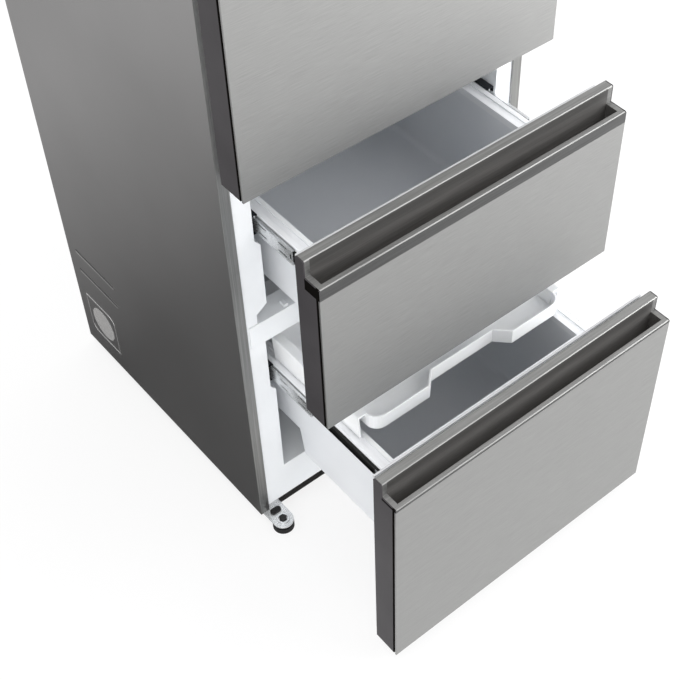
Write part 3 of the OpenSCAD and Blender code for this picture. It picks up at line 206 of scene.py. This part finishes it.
# Steel brushed from side to side: long fine streaks over soft clouds
def brushedFinish(name, look):
    material, tree, shader, place = newFinish(name)
    streaks = noiseOn(tree, place, look["streaks"], detail=4.0, grain=0.65)
    fine = noiseOn(tree, place, tuple(v * look["finer"] for v in look["streaks"]), detail=2.0, grain=0.6)
    clouds = noiseOn(tree, place, look["clouds"], detail=4.0, grain=0.6)
    mask = spread(tree, streaks, 0, 1, fromLow=0.2, fromHigh=0.8)
    streaked = mixColours(tree, mask, *linearPair(look["shades"]))
    haze = spread(tree, clouds, 0, look["hazeShare"])
    colour = mixColours(tree, haze, streaked, linear(look["haze"]))
    tree.links.new(colour, shader.inputs["Base Color"])
    tree.links.new(spread(tree, fine, *look["roughness"]), shader.inputs["Roughness"])
    shader.inputs["Metallic"].default_value = look["metallic"]
    bumpOn(tree, shader, mathNode(tree, "ADD", streaks, fine), look["bump"], look["relief"], look["edge"])
    return material


frontSteel = {
    "shades": ((139, 139, 138), (161, 161, 160)),
    "haze": (152, 152, 151),
    "hazeShare": 0.5,
    "streaks": (24, 24, 640),
    "finer": 3.1,
    "clouds": (14, 14, 30),
    "roughness": (0.42, 0.52),
    "metallic": 0.85,
    "bump": 0.12,
    "relief": 0.00012,
    "edge": 0.0007,
}
steelFinish = brushedFinish("brushedSteel", frontSteel)

sidePaint = {
    "shades": ((158, 157, 157), (166, 165, 165)),
    "roughness": (0.35, 0.41),
    "metallic": 0.9,
    "grazing": (0.45, 0.45, 0.45, 1),
    "fleck": 2600,
    "patch": 3,
    "flange": {
        "shades": ((140, 140, 139), (166, 166, 164)),
        "streaks": (500, 500, 6),
        "metallic": 0.95,
        "depth": (-0.001, 0.0009),
    },
    "raised": 0.0006,
    # Painted highlights and painted shade on the raised stampings: a lighter band over the stamping round
    # the disc, and each rib lighter along its lower edge and darker along its upper edge
    "stampingLightAndShade": (
        ((226, 225, 224), (0.060, 0.172)),
        ((244, 243, 242), (0.2285, 0.2312)), ((96, 95, 95), (0.2358, 0.2385)),
        ((244, 243, 242), (0.2785, 0.2812)), ((96, 95, 95), (0.2858, 0.2885)),
    ),
    "bump": 0.05,
    "relief": 0.0001,
    "edge": 0.0009,
}


# Metallic paint with painted highlights and painted shade on the stampings' slopes, and a brushed front
# flange
def cabinetFinish(look):
    material, tree, shader, place = newFinish("cabinetPaint")
    low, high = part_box("outer_shell")
    fleck = noiseOn(tree, place, (look["fleck"],) * 3, detail=1.0)
    clouds = noiseOn(tree, place, (look["patch"],) * 3)
    shaded = mixColours(tree, spread(tree, clouds, 0, 1), *linearPair(look["shades"]))
    flange = look["flange"]
    streaks = noiseOn(tree, place, flange["streaks"], grain=0.6)
    brushed = mixColours(tree, spread(tree, streaks, 0, 1), *linearPair(flange["shades"]))
    near, far = (low.y + v for v in flange["depth"])
    atFlange = insideBox(tree, place, (None, near, None), (None, far, None))
    skinAt = high.x - look["raised"]
    core = insideBox(tree, place, (-skinAt, None, None), (skinAt, None, None))
    stamped = mathNode(tree, "SUBTRACT", 1, core)
    # Paints the stampings' highlights and shade onto their raised faces
    for shade, (bottom, top) in look["stampingLightAndShade"]:
        belt = insideBox(tree, place, (None, None, bottom), (None, None, top))
        shaded = mixColours(tree, mathNode(tree, "MULTIPLY", stamped, belt), shaded, linear(shade))
    tree.links.new(mixColours(tree, atFlange, shaded, brushed), shader.inputs["Base Color"])
    tree.links.new(spread(tree, fleck, *look["roughness"]), shader.inputs["Roughness"])
    metal = byMask(tree, atFlange, look["metallic"], flange["metallic"])
    tree.links.new(metal, shader.inputs["Metallic"])
    shader.inputs["Specular Tint"].default_value = look["grazing"]
    bumpOn(tree, shader, fleck, look["bump"], look["relief"], look["edge"])
    return material


paintFinish = cabinetFinish(sidePaint)

plasticLooks = {
    "whiteLiner": {"shades": ((242, 244, 246), (247, 249, 251)), "roughness": (0.30, 0.42), "grain": 500,
                   "bump": 0.08, "edge": 0.0012},
    "whiteMould": {"shades": ((241, 243, 245), (246, 247, 248)), "roughness": (0.28, 0.38), "grain": 700,
                   "bump": 0.06, "depth": 0.15, "edge": 0.0010},
    "clearMould": {"shades": ((206, 218, 224), (220, 229, 234)), "roughness": (0.12, 0.22), "grain": 400,
                   "bump": 0.05, "transmission": 0.7, "edge": 0.0010},
    "discMould": {"shades": ((148, 147, 146), (160, 159, 158)), "roughness": (0.45, 0.6), "grain": 1600,
                  "bump": 0.3, "patch": 400, "specular": 0.3},
    "lampCover": {"shades": ((238, 242, 248), (246, 248, 252)), "roughness": (0.25, 0.35), "depth": 0.3,
                  "bump": 0.05},
    "greyCap": {"shades": ((62, 60, 62), (70, 68, 70)), "roughness": (0.42, 0.55), "grain": 1500,
                "bump": 0.10, "edge": 0.0008, "specular": 0.12},
    "blackMould": {"shades": ((26, 25, 26), (36, 34, 34)), "roughness": (0.35, 0.5), "grain": 1200,
                   "bump": 0.12, "edge": 0.0005},
    "baseMould": {"shades": ((34, 31, 30), (42, 39, 38)), "roughness": (0.45, 0.6), "bump": 0.1},
    "gasketRubber": {"shades": ((196, 197, 199), (210, 211, 213)), "roughness": (0.5, 0.65), "bump": 0.15,
                     "edge": 0.0012},
    "blackRubber": {"shades": ((30, 30, 30), (42, 41, 41)), "roughness": (0.6, 0.8), "bump": 0.3},
    "foamCore": {"shades": ((222, 205, 150), (236, 222, 176)), "roughness": (0.8, 0.95), "grain": 350,
                 "bump": 0.5, "relief": 0.0008, "patch": 40,
                 "facing": ((70, 71, 72), (None, 0.25, 0.0), (None, 0.50, 0.35))},
}
metalLooks = {
    "zincSheet": {"shades": ((156, 159, 162), (180, 183, 186)), "roughness": (0.32, 0.5), "metallic": 0.9,
                  "patch": 60, "bump": 0.08, "edge": 0.0005},
    "bracketZinc": {"shades": ((222, 224, 226), (240, 241, 242)), "roughness": (0.2, 0.32), "metallic": 0.6,
                    "patch": 60, "bump": 0.08, "edge": 0.0008},
    "chrome": {"shades": ((214, 216, 218), (232, 233, 234)), "roughness": (0.08, 0.14), "metallic": 1.0,
               "patch": 60, "bump": 0.04, "edge": 0.0004},
    "brightZinc": {"shades": ((206, 208, 210), (230, 232, 234)), "roughness": (0.22, 0.34), "metallic": 0.9,
                   "patch": 45, "bump": 0.06, "edge": 0.0005},
    "blackSlide": {"shades": ((24, 24, 24), (34, 34, 33)), "roughness": (0.3, 0.45), "metallic": 0.3,
                   "patch": 60, "bump": 0.2, "edge": 0.0004},
    "darkSlide": {"shades": ((52, 54, 58), (70, 72, 76)), "roughness": (0.25, 0.4), "metallic": 0.8,
                  "patch": 30, "bump": 0.08, "edge": 0.0004},
    "blackMetal": {"shades": ((24, 24, 25), (34, 34, 35)), "roughness": (0.3, 0.45), "metallic": 0.2,
                   "coat": 0.3, "patch": 20, "bump": 0.12, "edge": 0.0008},
    "finMetal": {"shades": ((196, 198, 200), (214, 216, 218)), "roughness": (0.3, 0.45), "metallic": 1.0,
                 "patch": 35, "bump": 0.1},
}
finishes = {name: plainFinish(name, look) for name, look in {**plasticLooks, **metalLooks}.items()}

glassLook = {
    "shades": ((226, 240, 238), (236, 246, 244)),
    "patch": 4,
    "roughness": (0.02, 0.06),
    "clearness": 0.92,
    "ior": 1.5,
}


def glassFinish(look):
    material, tree, shader, place = newFinish("shelfGlass")
    clouds = noiseOn(tree, place, (look["patch"],) * 3, detail=2.0)
    tint = mixColours(tree, spread(tree, clouds, 0, 1), *linearPair(look["shades"]))
    tree.links.new(tint, shader.inputs["Base Color"])
    tree.links.new(spread(tree, clouds, *look["roughness"]), shader.inputs["Roughness"])
    shader.inputs["Transmission Weight"].default_value = look["clearness"]
    shader.inputs["IOR"].default_value = look["ior"]
    return material


finishes["shelfGlass"] = glassFinish(glassLook)

handleForm = {
    "lip": 0.0095,
    "plateBack": 0.033,
    "end": 0.011,
    "deep": 0.080,
    "drop": 0.030,
    "band": {"upper": 0.021, "lower": 0.005},
    "satin": ((122, 122, 121), (144, 144, 143)),
    # The pocket is painted in shade: dark just under the lip, lighter towards its floor
    "pocketTopPaintedShade": ((54, 53, 52), (66, 65, 64)),
    "pocketFloorPaintedShade": ((112, 110, 108), (134, 132, 130)),
    "shadeFall": (0.058, 0.012),
    "bandShades": ((86, 86, 86), (100, 100, 100)),
    "blackEndsAndGapShadow": (24, 23, 22),
    "endSkin": 0.0006,
    # Span behind the face's fold that is painted black as the gap's shadow
    "gapShadowSpan": (0.0022, 0.0082),
    "slack": 0.0003,
    "under": 0.0012,
    "faceDepth": 0.001,
    "faceSkin": 0.0004,
    "streaks": (9, 420, 420),
    "grain": 900,
    "roughness": (0.42, 0.54),
    "metallic": (0.95, 0.3),
    "bump": 0.08,
    "relief": 0.0001,
    "edge": 0.0004,
}


# Satin metal outside, and inside the pocket a painted shade, darkest under the lip and lighter towards the
# pocket's floor; a darker band below the lip and black ends
def handleFinish(drawer, form):
    material, tree, shader, place = newFinish(drawer + "HandleFinish")
    low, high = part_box(drawer + "_handle")
    front, top = low.y, high.z
    streaks = noiseOn(tree, place, form["streaks"], grain=0.6)
    fine = noiseOn(tree, place, (form["grain"],) * 3, detail=2.0)
    mask = spread(tree, streaks, 0, 1)
    satin, band, floorShade, topShade = (
        mixColours(tree, mask, *linearPair(form[part]))
        for part in ("satin", "bandShades", "pocketFloorPaintedShade", "pocketTopPaintedShade"))
    split = tree.nodes.new("ShaderNodeSeparateXYZ")
    tree.links.new(place, split.inputs[0])
    # Painted shade in the pocket: darkest just under the lip, lighter towards the pocket's floor
    rise = spread(tree, split.outputs[2], 0, 1, *(top - v for v in form["shadeFall"]))
    pocketPaintedShade = mixColours(tree, rise, floorShade, topShade)
    small, back = form["slack"], front + form["plateBack"]
    end = high.x - form["end"] + small
    pocket = insideBox(tree, place, (-end, front + form["lip"] - small, top - form["deep"] - small),
                       (end, back + small, top - form["under"]))
    bandTop = top - form["drop"]
    bandLow = bandTop - form["band"][drawer]
    bandZone = insideBox(tree, place, (None, front - form["faceDepth"], bandLow),
                         (None, front + form["faceDepth"], bandTop - form["under"]))
    skin = form["endSkin"]
    core = insideBox(tree, place, (-high.x + skin, None, None), (high.x - skin, None, None))
    plate = insideBox(tree, place, (None, front + form["faceSkin"], bandLow), (None, back, bandTop - skin))
    ends = mathNode(tree, "MULTIPLY", mathNode(tree, "SUBTRACT", 1, core), plate)
    outside = mixColours(tree, ends, mixColours(tree, bandZone, satin, band), linear(form["blackEndsAndGapShadow"]))
    tree.links.new(mixColours(tree, pocket, outside, pocketPaintedShade), shader.inputs["Base Color"])
    tree.links.new(spread(tree, fine, *form["roughness"]), shader.inputs["Roughness"])
    metal = mathNode(tree, "MULTIPLY", byMask(tree, pocket, *form["metallic"]),
                     mathNode(tree, "SUBTRACT", 1, ends))
    tree.links.new(metal, shader.inputs["Metallic"])
    tree.links.new(byMask(tree, ends, common["specular"], 0), shader.inputs["Specular IOR Level"])
    bumpOn(tree, shader, streaks, form["bump"], form["relief"], form["edge"])
    return material


capLook = {**plasticLooks["greyCap"], "skin": 0.0008, "patch": 8, "relief": 0.0002, "edge": 0.0010}


# Side caps, with a painted shadow in black in the gap behind the face's fold, and black where the darker
# band below the handle's lip ends
def capFinish(node, form, look, band=None):
    material, tree, shader, place = newFinish(node + "Finish")
    low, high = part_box(node)
    front, bandTop = low.y - look["skin"], high.z - form["drop"]
    grain = noiseOn(tree, place, (look["grain"],) * 3, detail=2.0)
    clouds = noiseOn(tree, place, (look["patch"],) * 3)
    grey = mixColours(tree, spread(tree, clouds, 0, 1), *linearPair(look["shades"]))
    # Painted shadow: the gap behind the face's fold is coloured black and given no gloss
    grooveFront, grooveBack = (front + v for v in form["gapShadowSpan"])
    black = insideBox(tree, place, (None, grooveFront, None), (None, grooveBack, None))
    if band:
        end = insideBox(tree, place, (None, front, bandTop - band),
                        (None, front + form["plateBack"], bandTop - look["skin"]))
        black = mathNode(tree, "MAXIMUM", black, end)
    tree.links.new(mixColours(tree, black, grey, linear(form["blackEndsAndGapShadow"])), shader.inputs["Base Color"])
    tree.links.new(spread(tree, grain, *look["roughness"]), shader.inputs["Roughness"])
    tree.links.new(byMask(tree, black, look["specular"], 0), shader.inputs["Specular IOR Level"])
    bumpOn(tree, shader, grain, look["bump"], look["relief"], look["edge"])
    return material


binLook = {
    "side": ((232, 235, 239), (239, 241, 244)),
    "rim": ((242, 244, 247), (247, 248, 250)),
    "rimHeight": 0.0125,
    "overlap": 0.001,
    "roughness": (0.34, 0.46),
    "clearness": 0.12,
    "patch": 7,
    "grain": 600,
    "ior": 1.35,
    "bump": 0.08,
    "relief": 0.0002,
    "edge": 0.0010,
}


# Frosted bin below an opaque white rim
def binFinish(drawer, look):
    material, tree, shader, place = newFinish(drawer + "BinFinish")
    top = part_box(drawer + "_bin")[1].z
    clouds = noiseOn(tree, place, (look["patch"],) * 3)
    grain = noiseOn(tree, place, (look["grain"],) * 3, detail=2.0)
    mask = spread(tree, clouds, 0, 1)
    side, rim = (mixColours(tree, mask, *linearPair(look[part])) for part in ("side", "rim"))
    upper = insideBox(tree, place, (None, None, top - look["rimHeight"]),
                      (None, None, top + look["overlap"]))
    tree.links.new(mixColours(tree, upper, side, rim), shader.inputs["Base Color"])
    tree.links.new(spread(tree, grain, *look["roughness"]), shader.inputs["Roughness"])
    tree.links.new(byMask(tree, upper, look["clearness"], 0), shader.inputs["Transmission Weight"])
    shader.inputs["IOR"].default_value = look["ior"]
    bumpOn(tree, shader, grain, look["bump"], look["relief"], look["edge"])
    return material


nodeFinishes = {
    "outer_shell": paintFinish,
    "door_skin": steelFinish, "upper_front_skin": steelFinish, "lower_front_skin": steelFinish,
    "upper_handle": handleFinish("upper", handleForm), "lower_handle": handleFinish("lower", handleForm),
    "upper_front_frame": capFinish("upper_front_frame", handleForm, capLook, handleForm["band"]["upper"]),
    "lower_front_frame": capFinish("lower_front_frame", handleForm, capLook, handleForm["band"]["lower"]),
    "door_frame": capFinish("door_frame", handleForm, capLook),
    "base_strip": finishes["baseMould"],
    "upper_inner_rails": finishes["blackSlide"], "lower_inner_rails": finishes["blackSlide"],
    "side_discs": finishes["discMould"],
    "foot_brackets": finishes["bracketZinc"],
    "upper_bin": binFinish("upper", binLook), "lower_bin": binFinish("lower", binLook),
}
slotFinishes = {
    "zinc_sheet": "zincSheet", "white_liner": "whiteLiner", "white_tray": "whiteMould",
    "clear_bin": "clearMould", "grey_cap": "greyCap", "black_plastic": "blackMould", "foam": "foamCore",
    "gasket_grey": "gasketRubber", "slide_steel": "brightZinc", "slide_dark": "darkSlide",
    "black_metal": "blackMetal", "fin_metal": "finMetal", "shelf_glass": "shelfGlass",
    "black_rubber": "blackRubber", "lamp_cover": "lampCover",
}
for part in frame["record"]["subparts"]:
    name = part["node"]
    finish = nodeFinishes.get(name) or finishes[slotFinishes[part["material_slot"]]]
    nodes[name].data.materials.clear()
    nodes[name].data.materials.append(finish)
print("CAD nodes finished")

headForm = {"radius": 0.0036, "height": 0.0015, "sides": 24, "round": 0.5, "roundSteps": 3,
            "socket": 0.0021, "lobes": 6, "lobe": 0.16, "depth": 0.0009, "large": 1.3}
domeForm = {"radius": 0.0042, "height": 0.0009, "sides": 24, "round": 0.8, "roundSteps": 4}


# Low disc on z = 0 with a rounded upper rim
def roundedDisc(look, scale=1.0):
    form = bmesh.new()
    radius, height = look["radius"] * scale, look["height"]
    bmesh.ops.create_cone(form, cap_ends=True, segments=look["sides"], radius1=radius, radius2=radius,
                          depth=height, matrix=Matrix.Translation((0, 0, height / 2)))
    rim = [e for e in form.edges if all(v.co.z > height / 2 for v in e.verts)]
    bmesh.ops.bevel(form, geom=rim, offset=height * look["round"], offset_type="OFFSET",
                    segments=look["roundSteps"], profile=0.5, affect="EDGES", material=-1)
    return form


def meshFrom(form, name):
    mesh = bpy.data.meshes.new(name)
    form.to_mesh(mesh)
    form.free()
    return mesh


# Pan head with a lobed socket
def screwHead(look, scale=1.0):
    form = roundedDisc(look, scale)
    radius, height = look["radius"] * scale, look["height"]
    top = max(form.faces, key=lambda f: (len(f.verts), f.calc_center_median().z))
    flat = radius - height * look["round"] - look["socket"] * scale
    bmesh.ops.inset_region(form, faces=[top], thickness=flat)
    for v in top.verts:
        angle = math.atan2(v.co.y, v.co.x)
        reach = look["socket"] * scale * (1 + look["lobe"] * math.cos(look["lobes"] * angle))
        v.co.x, v.co.y = reach * math.cos(angle), reach * math.sin(angle)
    sunk = bmesh.ops.extrude_discrete_faces(form, faces=[top])["faces"][0]
    bmesh.ops.translate(form, verts=sunk.verts, vec=(0, 0, -look["depth"]))
    return meshFrom(form, "headMesh")


def addPiece(name, form, body, finish):
    bmesh.ops.recalc_face_normals(form, faces=form.faces)
    mesh = meshFrom(form, name)
    mesh.materials.append(finishes[finish])
    piece = bpy.data.objects.new(name, mesh)
    bpy.context.scene.collection.objects.link(piece)
    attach(piece, body)


# Copies of one head on their seats, as one mesh
def placeHeads(name, body, finish, head, seats):
    form = bmesh.new()
    for seat, axis in seats:
        known = len(form.verts)
        form.from_mesh(head)
        form.verts.ensure_lookup_table()
        turn = Vector((0, 0, 1)).rotation_difference(Vector(axis)).to_matrix().to_4x4()
        bmesh.ops.transform(form, matrix=Matrix.Translation(seat) @ turn, verts=form.verts[known:])
    addPiece(name, form, body, finish)


smallHead, largeHead = screwHead(headForm), screwHead(headForm, headForm["large"])
rivetHead = meshFrom(roundedDisc(domeForm), "domeMesh")

slideForm = {
    "sheet": 0.0012,
    "outerScrews": (0.040, 0.220, 0.400),
    "innerFace": 0.0032,
    "innerScrews": (0.070, 0.220, 0.380),
    "rivetPlace": 0.054,
    "rivetRise": 0.007,
    "rivetIn": 0.0006,
}


# Seats at x and -x, each with the way its head faces
def bothSides(x, y, z, inwards):
    return [((side * x, y, z), (side * (-1 if inwards else 1), 0, 0)) for side in (-1, 1)]


# Screws that hold the slides, and the end rivets of their middle members
def slideScrews(drawer, look):
    low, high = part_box(drawer + "_outer_rails")
    middle = (low.z + high.z) / 2
    seats = [seat for y in look["outerScrews"]
             for seat in bothSides(high.x - look["sheet"], low.y + y, middle, True)]
    placeHeads(drawer + "RailScrews", "cabinet", "zincSheet", smallHead, seats)
    low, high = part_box(drawer + "_inner_rails")
    seats = [seat for y in look["innerScrews"]
             for seat in bothSides(high.x - look["innerFace"], low.y + y, middle, False)]
    placeHeads(drawer + "BinScrews", drawer + "_drawer", "zincSheet", smallHead, seats)
    low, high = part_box(drawer + "_mid_rails")
    seats = bothSides(high.x - look["rivetIn"], low.y + look["rivetPlace"],
                      middle + look["rivetRise"], False)
    placeHeads(drawer + "Rivets", drawer + "_mid_rails", "brightZinc", rivetHead, seats)


for drawer in ("upper", "lower"):
    slideScrews(drawer, slideForm)
print("slide screws placed")

coverForm = {
    "panelIn": 0.012, "panelEnd": 0.03, "panelRows": 6, "ribDepth": 0.002,
    "panelTop": (-0.19, -0.095, 0, 0.095, 0.19),
    "machineIn": 0.008, "machineEnd": 0.012,
    "evaporatorIn": 0.014, "evaporatorEnd": 0.05,
    "carrierHalf": 0.085, "carrierThick": 0.0031, "bolts": (0.070, 0.042),
}


# Screws of the back, of the evaporator's cover and of the compressor's carrier
def coverScrews(look):
    low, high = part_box("back_panel")
    first, last = low.z + look["panelEnd"], high.z - look["panelEnd"]
    rise = (last - first) / (look["panelRows"] - 1)
    rear = high.y - look["ribDepth"]
    seats = [((x, rear, first + i * rise), (0, 1, 0))
             for i in range(look["panelRows"])
             for x in (low.x + look["panelIn"], high.x - look["panelIn"])]
    seats += [((x, rear, last), (0, 1, 0)) for x in look["panelTop"]]
    low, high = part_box("machine_cover")
    seats += [((x, high.y, z), (0, 1, 0))
              for x in (low.x + look["machineIn"], 0, high.x - look["machineIn"])
              for z in (low.z + look["machineEnd"], high.z - look["machineEnd"])]
    placeHeads("rearScrews", "cabinet", "brightZinc", smallHead, seats)
    low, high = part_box("evaporator_cover")
    seats = [((x, low.y, z), (0, -1, 0))
             for x in (low.x + look["evaporatorIn"], high.x - look["evaporatorIn"])
             for z in (low.z + look["evaporatorEnd"], high.z - look["evaporatorEnd"])]
    placeHeads("innerScrews", "cabinet", "whiteLiner", largeHead, seats)
    low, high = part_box("compressor")
    centre = Vector((high.x - look["carrierHalf"], (low.y + high.y) / 2, low.z + look["carrierThick"]))
    across, along = look["bolts"]
    seats = [(centre + Vector((i * across, j * along, 0)), (0, 0, 1)) for i in (-1, 1) for j in (-1, 1)]
    placeHeads("compressorBolts", "cabinet", "brightZinc", largeHead, seats)


coverScrews(coverForm)

footForm = {"bore": 0.0078, "collar": 0.0125, "rise": 0.0028, "slope": 0.0012, "lead": 0.0006, "steps": 48,
            "ridges": (-0.0028, 0.0, 0.0028), "ridge": (0.016, 0.0012, 0.0008)}


# Raised collars round the feet's heads, and the ridges on the plugs beside them
def footDetails(look):
    collar, ridges = bmesh.new(), bmesh.new()
    low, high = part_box("left_foot")
    middle = (low + high) / 2
    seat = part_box("foot_brackets")[1].z
    plugLow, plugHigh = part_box("foot_plugs")
    for side in (-1, 1):
        centre = Vector((-side * middle.x, middle.y, seat))
        profile = [(look["bore"], 0), (look["collar"], 0),
                   (look["collar"] - look["slope"], look["rise"]),
                   (look["bore"] + look["lead"], look["rise"])]
        verts = [collar.verts.new(centre + Vector((r, 0, z))) for r, z in profile]
        edges = [collar.edges.new(pair) for pair in zip(verts, verts[1:] + verts[:1])]
        bmesh.ops.spin(collar, geom=verts + edges, cent=centre, axis=(0, 0, 1), angle=math.tau,
                       steps=look["steps"], use_merge=True)
        size = look["ridge"]
        for y in look["ridges"]:
            place = (centre.x, (plugLow.y + plugHigh.y) / 2 + y, plugHigh.z + size[2] / 2)
            shape = Matrix.Translation(place) @ Matrix.Diagonal((*size, 1))
            bmesh.ops.create_cube(ridges, size=1, matrix=shape)
    addPiece("footCollars", collar, "cabinet", "chrome")
    addPiece("plugRidges", ridges, "cabinet", "blackMould")


footDetails(footForm)
print("small pieces placed")

studio = {
    "floorSize": 30,
    "floorDrop": 0.0002,
    "floorShade": 0.86,
    "floorRoughness": 0.9,
    "floorGlow": 0.82,
    # Floor's glow as metal and glass mirror it, dimmed near the cabinet as a painted shadow in the
    # reflections
    "mirrored": {"near": 0.1, "far": 1.0, "back": (0.4, 1.35), "front": (-0.06, -0.3)},
    "world": 0.96,
    "aim": (0, 0, 0.9),
    "lamps": {
        "keyLamp": {"place": (2.6, -3.4, 4.2), "size": 3.2, "power": 84},
        "sideLamp": {"place": (3.2, -2.2, 0.9), "size": 1.8, "power": 190},
        "fillLamp": {"place": (-2.4, -2.8, 1.3), "size": 1.6, "power": 26},
        "topLamp": {"place": (0.2, 0.4, 4.6), "size": 2.6, "power": 95},
    },
}


# Camera rays, and the rays by which metal and glass show the background
def plainRays(tree):
    light = tree.nodes.new("ShaderNodeLightPath")
    glossy, through = light.outputs["Is Glossy Ray"], light.outputs["Is Transmission Ray"]
    return light.outputs["Is Camera Ray"], mathNode(tree, "MAXIMUM", glossy, through)


# Pale floor, which glows less close beside the cabinet where metal and glass mirror it: a painted shadow in
# the reflections
def makeFloor(look):
    form = bmesh.new()
    bmesh.ops.create_grid(form, x_segments=1, y_segments=1, size=look["floorSize"])
    bmesh.ops.translate(form, verts=form.verts, vec=(0, 0, -look["floorDrop"]))
    mesh = meshFrom(form, "studioFloor")
    floor = bpy.data.objects.new("studioFloor", mesh)
    bpy.context.scene.collection.objects.link(floor)
    material = bpy.data.materials.new("paleFloor")
    material.use_nodes = True
    tree = material.node_tree
    shader = tree.nodes["Principled BSDF"]
    shade = look["floorShade"]
    shader.inputs["Base Color"].default_value = (shade, shade, shade, 1)
    shader.inputs["Roughness"].default_value = look["floorRoughness"]
    shader.inputs["Specular IOR Level"].default_value = 0.0
    glow = tree.nodes.new("ShaderNodeEmission")
    glow.inputs["Color"].default_value = (1, 1, 1, 1)
    blend = tree.nodes.new("ShaderNodeMixShader")
    byCamera, mirrored = plainRays(tree)
    split = tree.nodes.new("ShaderNodeSeparateXYZ")
    tree.links.new(tree.nodes.new("ShaderNodeTexCoord").outputs["Object"], split.inputs[0])
    levels = look["mirrored"]
    behind, before = (spread(tree, split.outputs[1], 0, 1, *levels[side]) for side in ("back", "front"))
    away = mathNode(tree, "MAXIMUM", behind, before)
    level = byMask(tree, away, levels["near"], levels["far"])
    extra = mathNode(tree, "MULTIPLY", mirrored, mathNode(tree, "SUBTRACT", level, 1))
    tree.links.new(mathNode(tree, "ADD", extra, 1), glow.inputs["Strength"])
    seen = mathNode(tree, "MULTIPLY", byCamera, look["floorGlow"])
    tree.links.new(mathNode(tree, "MAXIMUM", mirrored, seen), blend.inputs[0])
    tree.links.new(shader.outputs[0], blend.inputs[1])
    tree.links.new(glow.outputs[0], blend.inputs[2])
    tree.links.new(blend.outputs[0], tree.nodes["Material Output"].inputs["Surface"])
    mesh.materials.append(material)


# A white world that lights the object a little less than it shows, and the lamps
def makeLights(look):
    world = bpy.data.worlds.new("studio")
    bpy.context.scene.world = world
    world.use_nodes = True
    tree = world.node_tree
    sky = tree.nodes["Background"]
    sky.inputs["Color"].default_value = (1, 1, 1, 1)
    shown = mathNode(tree, "MAXIMUM", *plainRays(tree))
    level = mathNode(tree, "MULTIPLY_ADD", shown, 1 - look["world"], look["world"])
    tree.links.new(level, sky.inputs["Strength"])
    for name, lamp in look["lamps"].items():
        light = bpy.data.lights.new(name, "AREA")
        light.size = lamp["size"]
        light.energy = lamp["power"]
        holder = bpy.data.objects.new(name, light)
        holder.location = lamp["place"]
        aim = Vector(look["aim"]) - Vector(lamp["place"])
        holder.rotation_euler = aim.to_track_quat("-Z", "Y").to_euler()
        bpy.context.scene.collection.objects.link(holder)


makeFloor(studio)
makeLights(studio)
bpy.context.scene.view_settings.view_transform = "Standard"
print("studio set")
